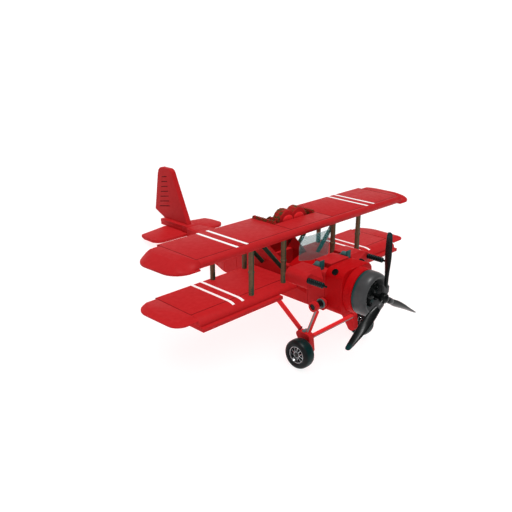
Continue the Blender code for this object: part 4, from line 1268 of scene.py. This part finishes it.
@dataclass
class Gear:
    """Hub blocks, axles, the rods in a lighter red with a painted pale highlight line along each, their bosses and the
    cross bar.
    """

    hub_inner: float = 4.1
    hub_outer: float = 5.0
    wheel_y: float = -3.8
    wheel_z: float = 1.9
    axle_lobe: float = 0.62
    foot_lobe: float = 0.5
    foot_z: float = 4.05
    front_y: float = -3.7
    rear_y: float = -2.45
    bar_y: float = -3.95
    boss: tuple[float, float, float] = (3.04, -4.6, 8.0)
    rod_radius: float = 0.3
    axle_radius: float = 0.3
    axle_length: float = 1.9

    def build(self) -> None:
        """Make both sides and the bar."""
        for side in Side:
            self.hub(side)
            self.knob(side)
            self.axle(side)
            self.rod("leg_front_" + side.word, "gear_front_" + side.word, side, (4.6, self.front_y, 4.185),
                     (4.2, -4.6, 7.245), (1.0, 0.0, 0.0))
            self.rod("leg_rear_" + side.word, "gear_rear_" + side.word, side, (4.7, self.rear_y, 4.22),
                     (6.4, -0.2, 8.005), (0.0, -1.0, 0.0))
        level = self.foot_z - self.foot_lobe
        self.rod("cross_bar", "spreader_bar", Side.LEFT, (-4.06, self.bar_y, level), (4.06, self.bar_y, level),
                 (0.0, -0.9, -0.44))

    def rod(self, name: str, node: str, side: Side, start: tuple[float, float, float],
            stop: tuple[float, float, float], pale: tuple[float, float, float]) -> None:
        """A round rod with soft ends and a painted pale highlight line in a shallow groove along one side.

        Args:
            name: The piece's name.
            node: The node that it replaces.
            side: The side that it is on.
            start: Its lower end, as drawn on the left.
            stop: Its upper end.
            pale: Direction, square to the rod or nearly, in which the painted highlight line lies.
        """
        length = math.dist(start, stop)
        share = np.array([0.0, 0.04, 0.04, length / 2, length - 0.04, length - 0.04, length]) / length
        share[1:3] = 0.015 / length, 0.05 / length
        share[4:6] = 1 - 0.05 / length, 1 - 0.015 / length
        path = np.array(start) * (1 - share[:, None]) + np.array(stop) * share[:, None]
        radius = self.rod_radius - np.array([0.05, 0.02, 0.0, 0.0, 0.0, 0.02, 0.05])
        sides = 40
        shell = tube(path, radius, sides)
        middle = np.repeat(path, sides, axis=0)
        out = shell.points - middle
        out /= np.linalg.norm(out, axis=1, keepdims=True)
        toward = np.clip(out @ np.array(pale) / np.linalg.norm(pale), -1, 1)
        highlight_share = np.clip((toward - 0.9) / 0.03, 0, 1)
        shell = Shell(shell.points - out * highlight_share[:, None] * 0.02, shell.faces).mirrored(side)
        put(name, shell, LIT_ROD_RED, nodes=(node,), sharp=40, tint=highlight_share)

    def hub(self, side: Side) -> None:
        """The hub block with its three lobes, a grey bush between the upper ones and a dark cuff."""
        outline = np.concatenate([
            arc((self.wheel_y, self.wheel_z), self.axle_lobe, 190, 340, 18),
            arc((self.rear_y, self.foot_z - self.foot_lobe), self.foot_lobe, -20, 100, 14),
            arc((self.front_y, self.foot_z - self.foot_lobe), self.foot_lobe, 80, 190, 14)])
        shell = slab(outline, Axis.X, self.hub_inner, self.hub_outer, 0.07)
        put("hub_block_" + side.word, shell.mirrored(side), RED, nodes=("gear_hub_" + side.word,))
        middle_y = (self.rear_y + self.front_y) / 2
        bush = lathe(np.array([(0.0, -0.35), (0.2, -0.35), (0.24, -0.3), (0.24, 0.3), (0.2, 0.35), (0.0, 0.35)]), 24,
                     Axis.X).moved((4.55, middle_y, self.foot_z + 0.06))
        put("hub_bush_" + side.word, bush.mirrored(side), GREY_IN_TEAL_SHADE)
        cuff = np.array([(0.2, -0.05), (0.34, -0.05), (0.36, 0.0), (0.34, 0.05), (0.2, 0.05)])
        lean = np.array([1.7, 2.25, 3.785])
        ring = lathe(cuff, 28, Axis.Z).turned(leaning(lean)).moved((4.72, -2.42, 4.3))
        put("hub_cuff_" + side.word, ring.mirrored(side), BLACK)

    def knob(self, side: Side) -> None:
        """The boss on the fuselage: a foot, a thin grey disc, a black pin and a hollow red end."""
        red = [np.array([(0.0, 0.0), (0.6, 0.0), (0.62, 0.03), (0.62, 0.32), (0.6, 0.35), (0.0, 0.35)]),
               np.array([(0.4, 1.46), (0.4, 2.08), (0.42, 2.1), (0.59, 2.1), (0.62, 2.07), (0.62, 1.48), (0.6, 1.45),
                         (0.42, 1.45)])]
        black = [np.array([(0.0, 0.3), (0.46, 0.3), (0.46, 1.48), (0.0, 1.48)]),
                 np.array([(0.0, 1.4), (0.405, 1.4), (0.405, 1.98), (0.0, 1.98)])]
        disc = np.array([(0.0, 0.45), (0.62, 0.45), (0.64, 0.47), (0.64, 0.53), (0.62, 0.55), (0.0, 0.55)])
        put("boss_red_" + side.word, merged([lathe(p, 48, Axis.X) for p in red]).moved(self.boss).mirrored(side), RED,
            nodes=("gear_boss_" + side.word,))
        put("boss_pin_" + side.word, merged([lathe(p, 32, Axis.X) for p in black]).moved(self.boss).mirrored(side),
            BLACK)
        put("boss_disc_" + side.word, lathe(disc, 40, Axis.X).moved(self.boss).mirrored(side), GREY_IN_TEAL_SHADE)

    def axle(self, side: Side) -> None:
        """The dark pin that the wheel turns on, its outer end rounded."""
        radius, length = self.axle_radius, self.axle_length
        profile = np.array([(0.0, 0.0), (radius, 0.0), (radius, length - 0.06), (radius - 0.02, length - 0.02),
                            (radius - 0.06, length), (0.0, length)])
        shell = lathe(profile, 32, Axis.X).moved((self.hub_outer + 0.04, self.wheel_y, self.wheel_z))
        put("wheel_pin_" + side.word, shell.mirrored(side), PIN, nodes=("axle_" + side.word,))


def leaning(direction: Array) -> Array:
    """The 3 by 3 matrix that lays the z axis along a direction."""
    up = direction / np.linalg.norm(direction)
    side = np.cross([0.0, 1.0, 0.0], up)
    side /= np.linalg.norm(side)
    return np.stack([side, np.cross(up, side), up], -1)


@dataclass
class Wheels:
    """Two smooth rubber tyres on bright spoked rims."""

    place: tuple[float, float, float] = (6.3, -3.8, 1.9)
    bore: float = 1.165
    rim_radius: float = 1.125
    hole: float = 0.34
    face: float = 0.63
    spokes: int = 10
    # Half the tyre's profile from its bead to its crown: radius, half width
    shoulder: tuple[Pair, ...] = ((1.165, 0.68), (1.2, 0.74), (1.27, 0.83), (1.38, 0.87), (1.55, 0.855), (1.7, 0.77),
                                  (1.82, 0.6), (1.88, 0.38), (1.9, 0.16))

    def build(self) -> None:
        """Make both wheels."""
        for side in Side:
            body = Body.WHEEL_LEFT if side is Side.LEFT else Body.WHEEL_RIGHT
            self.tyre(side, body)
            self.rim(side, body)

    def tyre(self, side: Side, body: Body) -> None:
        """The tyre: a smooth curve through the shoulder's knots, mirrored at the crown."""
        half = smooth(np.array(self.shoulder), 4)
        profile = np.concatenate([half, half[::-1] * np.array([1, -1])])
        shell = lathe(profile, 96, Axis.X)
        far = np.hypot(shell.points[:, 1], shell.points[:, 2])
        # A painted teal sheen on the tyre's crown
        put("rubber_" + side.word, shell.moved(self.place).mirrored(side), RUBBER, body, ("tyre_" + side.word,), 60,
            tint=np.clip((far - 1.8) / 0.08, 0, 1))

    def rim(self, side: Side, body: Body) -> None:
        """The rim: a bright ring and hub, spokes on both faces, and a dark web between them."""
        face = self.face
        ring = np.array([(1.0, -face), (1.02, -face - 0.03), (1.1, -face - 0.03), (self.rim_radius, -face + 0.02),
                         (self.rim_radius, face - 0.02), (1.1, face + 0.03), (1.02, face + 0.03), (1.0, face),
                         (0.93, 0.25), (0.93, -0.25)])
        hub = np.array([(self.hole, -face), (self.hole, face), (0.4, face + 0.03), (0.46, face), (0.5, 0.25),
                        (0.5, -0.25), (0.46, -face), (0.4, -face - 0.03)])
        turn = 2 * math.pi * np.arange(self.spokes) / self.spokes
        shells = [lathe(ring, 72, Axis.X), lathe(hub, 40, Axis.X)]
        for angle in turn:
            spin = np.array([[1, 0, 0], [0, math.cos(angle), -math.sin(angle)], [0, math.sin(angle), math.cos(angle)]])
            for sign in (-1, 1):
                bar = tube(line((sign * 0.52, 0, 0.42), (sign * 0.36, 0, 0.97), 3), np.array([0.09, 0.07, 0.1]), 12)
                shells.append(bar.turned(spin))
        put("bright_rim_" + side.word, merged(shells).moved(self.place).mirrored(side), CHROME, body,
            ("rim_" + side.word,), 40)
        web = np.array([(self.hole + 0.02, -0.24), (self.hole + 0.02, 0.24), (0.96, 0.24), (0.96, -0.24)])
        put("wheel_web_" + side.word, lathe(web, 48, Axis.X).moved(self.place).mirrored(side), BLACK, body)


# Tail

@dataclass
class Tail:
    """Tail block, stabilisers and the slotted fin."""

    front: float = 24.1
    half: float = 1.0
    block_end: float = 31.0
    top: float = 9.9
    thick: float = 0.45
    stab_front: float = 24.2
    stab_rear: float = 29.85
    stab_corner: Pair = (6.45, 28.75)
    stab_reach: float = 6.8
    fin_half: float = 0.45
    fin_foot: float = 10.9
    pylon_rear: float = 25.6
    slots: int = 7
    slot_top: float = 17.6
    slot_pitch: float = 0.82
    slot_front: Pair = (29.6, 29.2)
    slot_rear: Pair = (30.85, 31.75)
    slot_slant: float = 0.19

    def build(self) -> None:
        """Make the tail's pieces."""
        low = self.top - self.thick
        half, seam = self.half, SEAM / 2
        plates = [block((-half, self.front, low), (half, self.pylon_rear - seam, self.fin_foot), 0.05),
                  block((-half, self.pylon_rear + seam, low), (half, self.stab_rear, self.top - seam), 0.04),
                  block((-half + 0.05, self.pylon_rear + seam, self.top + seam), (half - 0.05, self.block_end, 10.35), 0.04),
                  block((-half, self.pylon_rear + seam, 10.38), (half, self.block_end, self.fin_foot), 0.05)]
        put("tail_brick", merged(plates), RED, nodes=("tail_block",))
        for side in Side:
            shell = slab(self.stab_plan(), Axis.Z, low, self.top, 0.06).moved((self.half + SEAM, 0, 0))
            put("tail_plane_" + side.word, shell.mirrored(side), RED, nodes=("stabiliser_" + side.word,))
            self.fin_slots(side)
        put("tail_fin", slab(self.fin_view(), Axis.X, -self.fin_half, self.fin_half, 0.14, 5), RED, nodes=("fin",))

    def fin_slots(self, side: Side) -> None:
        """Seven slots on the fin's side, evenly stepped down, each slanting down to the rear."""
        share = np.linspace(0, 1, self.slots)
        front = self.slot_front[0] * (1 - share) + self.slot_front[1] * share
        rear = self.slot_rear[0] * (1 - share) + self.slot_rear[1] * share
        level = self.slot_top - self.slot_pitch * np.arange(self.slots)
        dark, lips = [], []
        for y0, y1, z in zip(front, rear, level):
            drop = self.slot_slant * (y1 - y0)
            for shells, low, high in ((dark, 0.0, 0.13), (lips, -0.1, -0.01)):
                view = np.array([(y0, z + drop + low), (y1, z + low), (y1, z + high), (y0, z + drop + high)])
                shells.append(slab(view, Axis.X, self.fin_half - 0.02, self.fin_half + 0.012, 0.005, 1))
        put("fin_slots_" + side.word, merged(dark).mirrored(side), SLOT_SHADE)
        put("fin_lips_" + side.word, merged(lips).mirrored(side), RED)

    def stab_plan(self) -> Array:
        """Plan of a stabiliser from its root's front corner round to its rear one."""
        reach = self.stab_reach - self.half
        return np.concatenate([
            [(0.0, self.stab_front)], arc((reach - 1.4, self.stab_front + 1.4), 1.4, -90, 0, 12),
            [(reach - 0.05, self.stab_corner[1] - 1.2)],
            arc((self.stab_corner[0] - self.half - 0.3, self.stab_corner[1] - 0.25), 0.3, 0, 75, 6),
            [(0.25, self.stab_rear), (0.0, self.stab_rear)]])

    def fin_view(self) -> Array:
        """Side view of the fin: a raked blade with two round upper corners."""
        foot = self.fin_foot + 0.04
        return np.concatenate([[(24.8, foot), (30.7, foot), (33.1, 12.0), (31.95, 18.2)],
                               arc((30.9, 18.25), 0.95, 10, 80, 10), arc((29.2, 18.2), 1.0, 95, 165, 10)])


# Studio

@dataclass
class Studio:
    """Floor, soft light and the camera that looks as the photograph does."""

    focal_pixels: float = 618.04
    frame_pixels: float = 512.0
    azimuth: float = -45.0
    elevation: float = 20.0
    target: tuple[float, float, float] = (0.0, 10.15, 9.5)
    distance: float = 87.4
    sensor: float = 36.0
    # Each lamp: name, direction in level terms, strength, spread in degrees, whether it casts shadows
    lamps: tuple[tuple[str, tuple[float, float, float], float, float, bool], ...] = (
        ("key_lamp", (-0.10, -0.22, 0.97), 0.35, 70.0, True),
        ("fill_lamp", (0.04, -0.20, 0.98), 2.2, 12.0, False),
        ("front_lamp", (-0.66, -0.66, 0.35), 0.1, 60.0, False))
    sky_fade: tuple[tuple[str, float], ...] = (
        ("From Min", 0.05), ("From Max", 0.22), ("To Min", 1.0), ("To Max", 0.18))

    def build(self) -> None:
        """Set the camera, the floor, the sky and the lamps."""
        self.camera()
        self.floor()
        self.sky()
        for lamp in self.lamps:
            self.lamp(*lamp)

    def camera(self) -> None:
        """A camera at the photograph's angle to the toy, tipped with it."""
        turn, rise = math.radians(self.azimuth), math.radians(self.elevation)
        right = np.array([math.cos(turn), math.sin(turn), 0.0])
        back = np.array([math.sin(turn) * math.cos(rise), -math.cos(turn) * math.cos(rise), math.sin(rise)])
        up = np.cross(back, right)
        place = ATTITUDE.apply((np.array(self.target) + self.distance * back)[None])[0]
        world = np.eye(4)
        world[:3, :3] = ATTITUDE.matrix() / STUD @ np.stack([right, up, back], -1)
        world[:3, 3] = place
        data = bpy.data.cameras.new("photo_camera")
        data.sensor_width = self.sensor
        data.lens = self.sensor * self.focal_pixels / self.frame_pixels
        data.clip_start = 0.01
        camera = bpy.data.objects.new("photo_camera", data)
        camera.matrix_world = Matrix(world.tolist())
        bpy.context.scene.collection.objects.link(camera)
        bpy.context.scene.camera = camera

    def floor(self) -> None:
        """A wide pale floor with a barely uneven tone."""
        half = 60.0
        plan = np.array([(-half, -half, 0.0), (half, -half, 0.0), (half, half, 0.0), (-half, half, 0.0)])
        mesh = bpy.data.meshes.new("floor")
        mesh.from_pydata(plan.tolist(), [], [[0, 1, 2, 3]])
        mesh.materials.append(Finish("floor_pale", None, (0.93, 0.93, 0.93), (0.91, 0.91, 0.91), roughness=0.9,
                                     clouds=2.0, bump=0.0, specular=0.1, glow=0.19).material())
        floor = bpy.data.objects.new("floor", mesh)
        bpy.context.scene.collection.objects.link(floor)

    def sky(self) -> None:
        """A sky that is white at the horizon, where it meets the floor, and dim above it."""
        world = bpy.data.worlds.new("studio")
        world.use_nodes = True
        nodes = world.node_tree.nodes
        link = world.node_tree.links.new
        place = nodes.new("ShaderNodeTexCoord")
        split = nodes.new("ShaderNodeSeparateXYZ")
        fade = nodes.new("ShaderNodeMapRange")
        for name, value in self.sky_fade:
            fade.inputs[name].default_value = value
        shade = nodes["Background"]
        shade.inputs["Color"].default_value = (1.0, 1.0, 1.0, 1.0)
        link(place.outputs["Generated"], split.inputs["Vector"])
        link(split.outputs["Z"], fade.inputs["Value"])
        link(fade.outputs["Result"], shade.inputs["Strength"])
        bpy.context.scene.world = world

    def lamp(self, name: str, direction: tuple[float, float, float], strength: float, spread: float,
             shadows: bool) -> None:
        """A wide soft lamp from afar, even over the whole floor.

        Args:
            name: The lamp's name.
            direction: Where it stands, seen from the toy's middle, in level terms.
            strength: Its light on a face square to it, in watts per square metre.
            spread: Its width as seen from the toy, in degrees.
            shadows: Whether it casts shadows.
        """
        data = bpy.data.lights.new(name, "SUN")
        data.energy = strength
        data.angle = math.radians(spread)
        data.use_shadow = shadows
        lamp = bpy.data.objects.new(name, data)
        world = np.eye(4)
        world[:3, :3] = leaning(ATTITUDE.matrix() / STUD @ np.array(direction))
        world[:3, 3] = (0.0, 0.0, 1.0)
        lamp.matrix_world = Matrix(world.tolist())
        bpy.context.scene.collection.objects.link(lamp)


def main() -> None:
    """Build the sub-assemblies in order, then the studio."""
    logging.basicConfig(level=logging.INFO)
    bpy.context.scene.view_settings.view_transform = "Standard"
    for part in (UpperWing(), LowerWing(), WingRods(), Nose(), Propeller(), Fuselage(), Windscreen(), Cockpit(),
                 Guns(), Gear(), Wheels(), Tail(), Studio()):
        LOG.info("building %s", type(part).__name__)
        part.build()


if __name__ == "__main__":
    main()
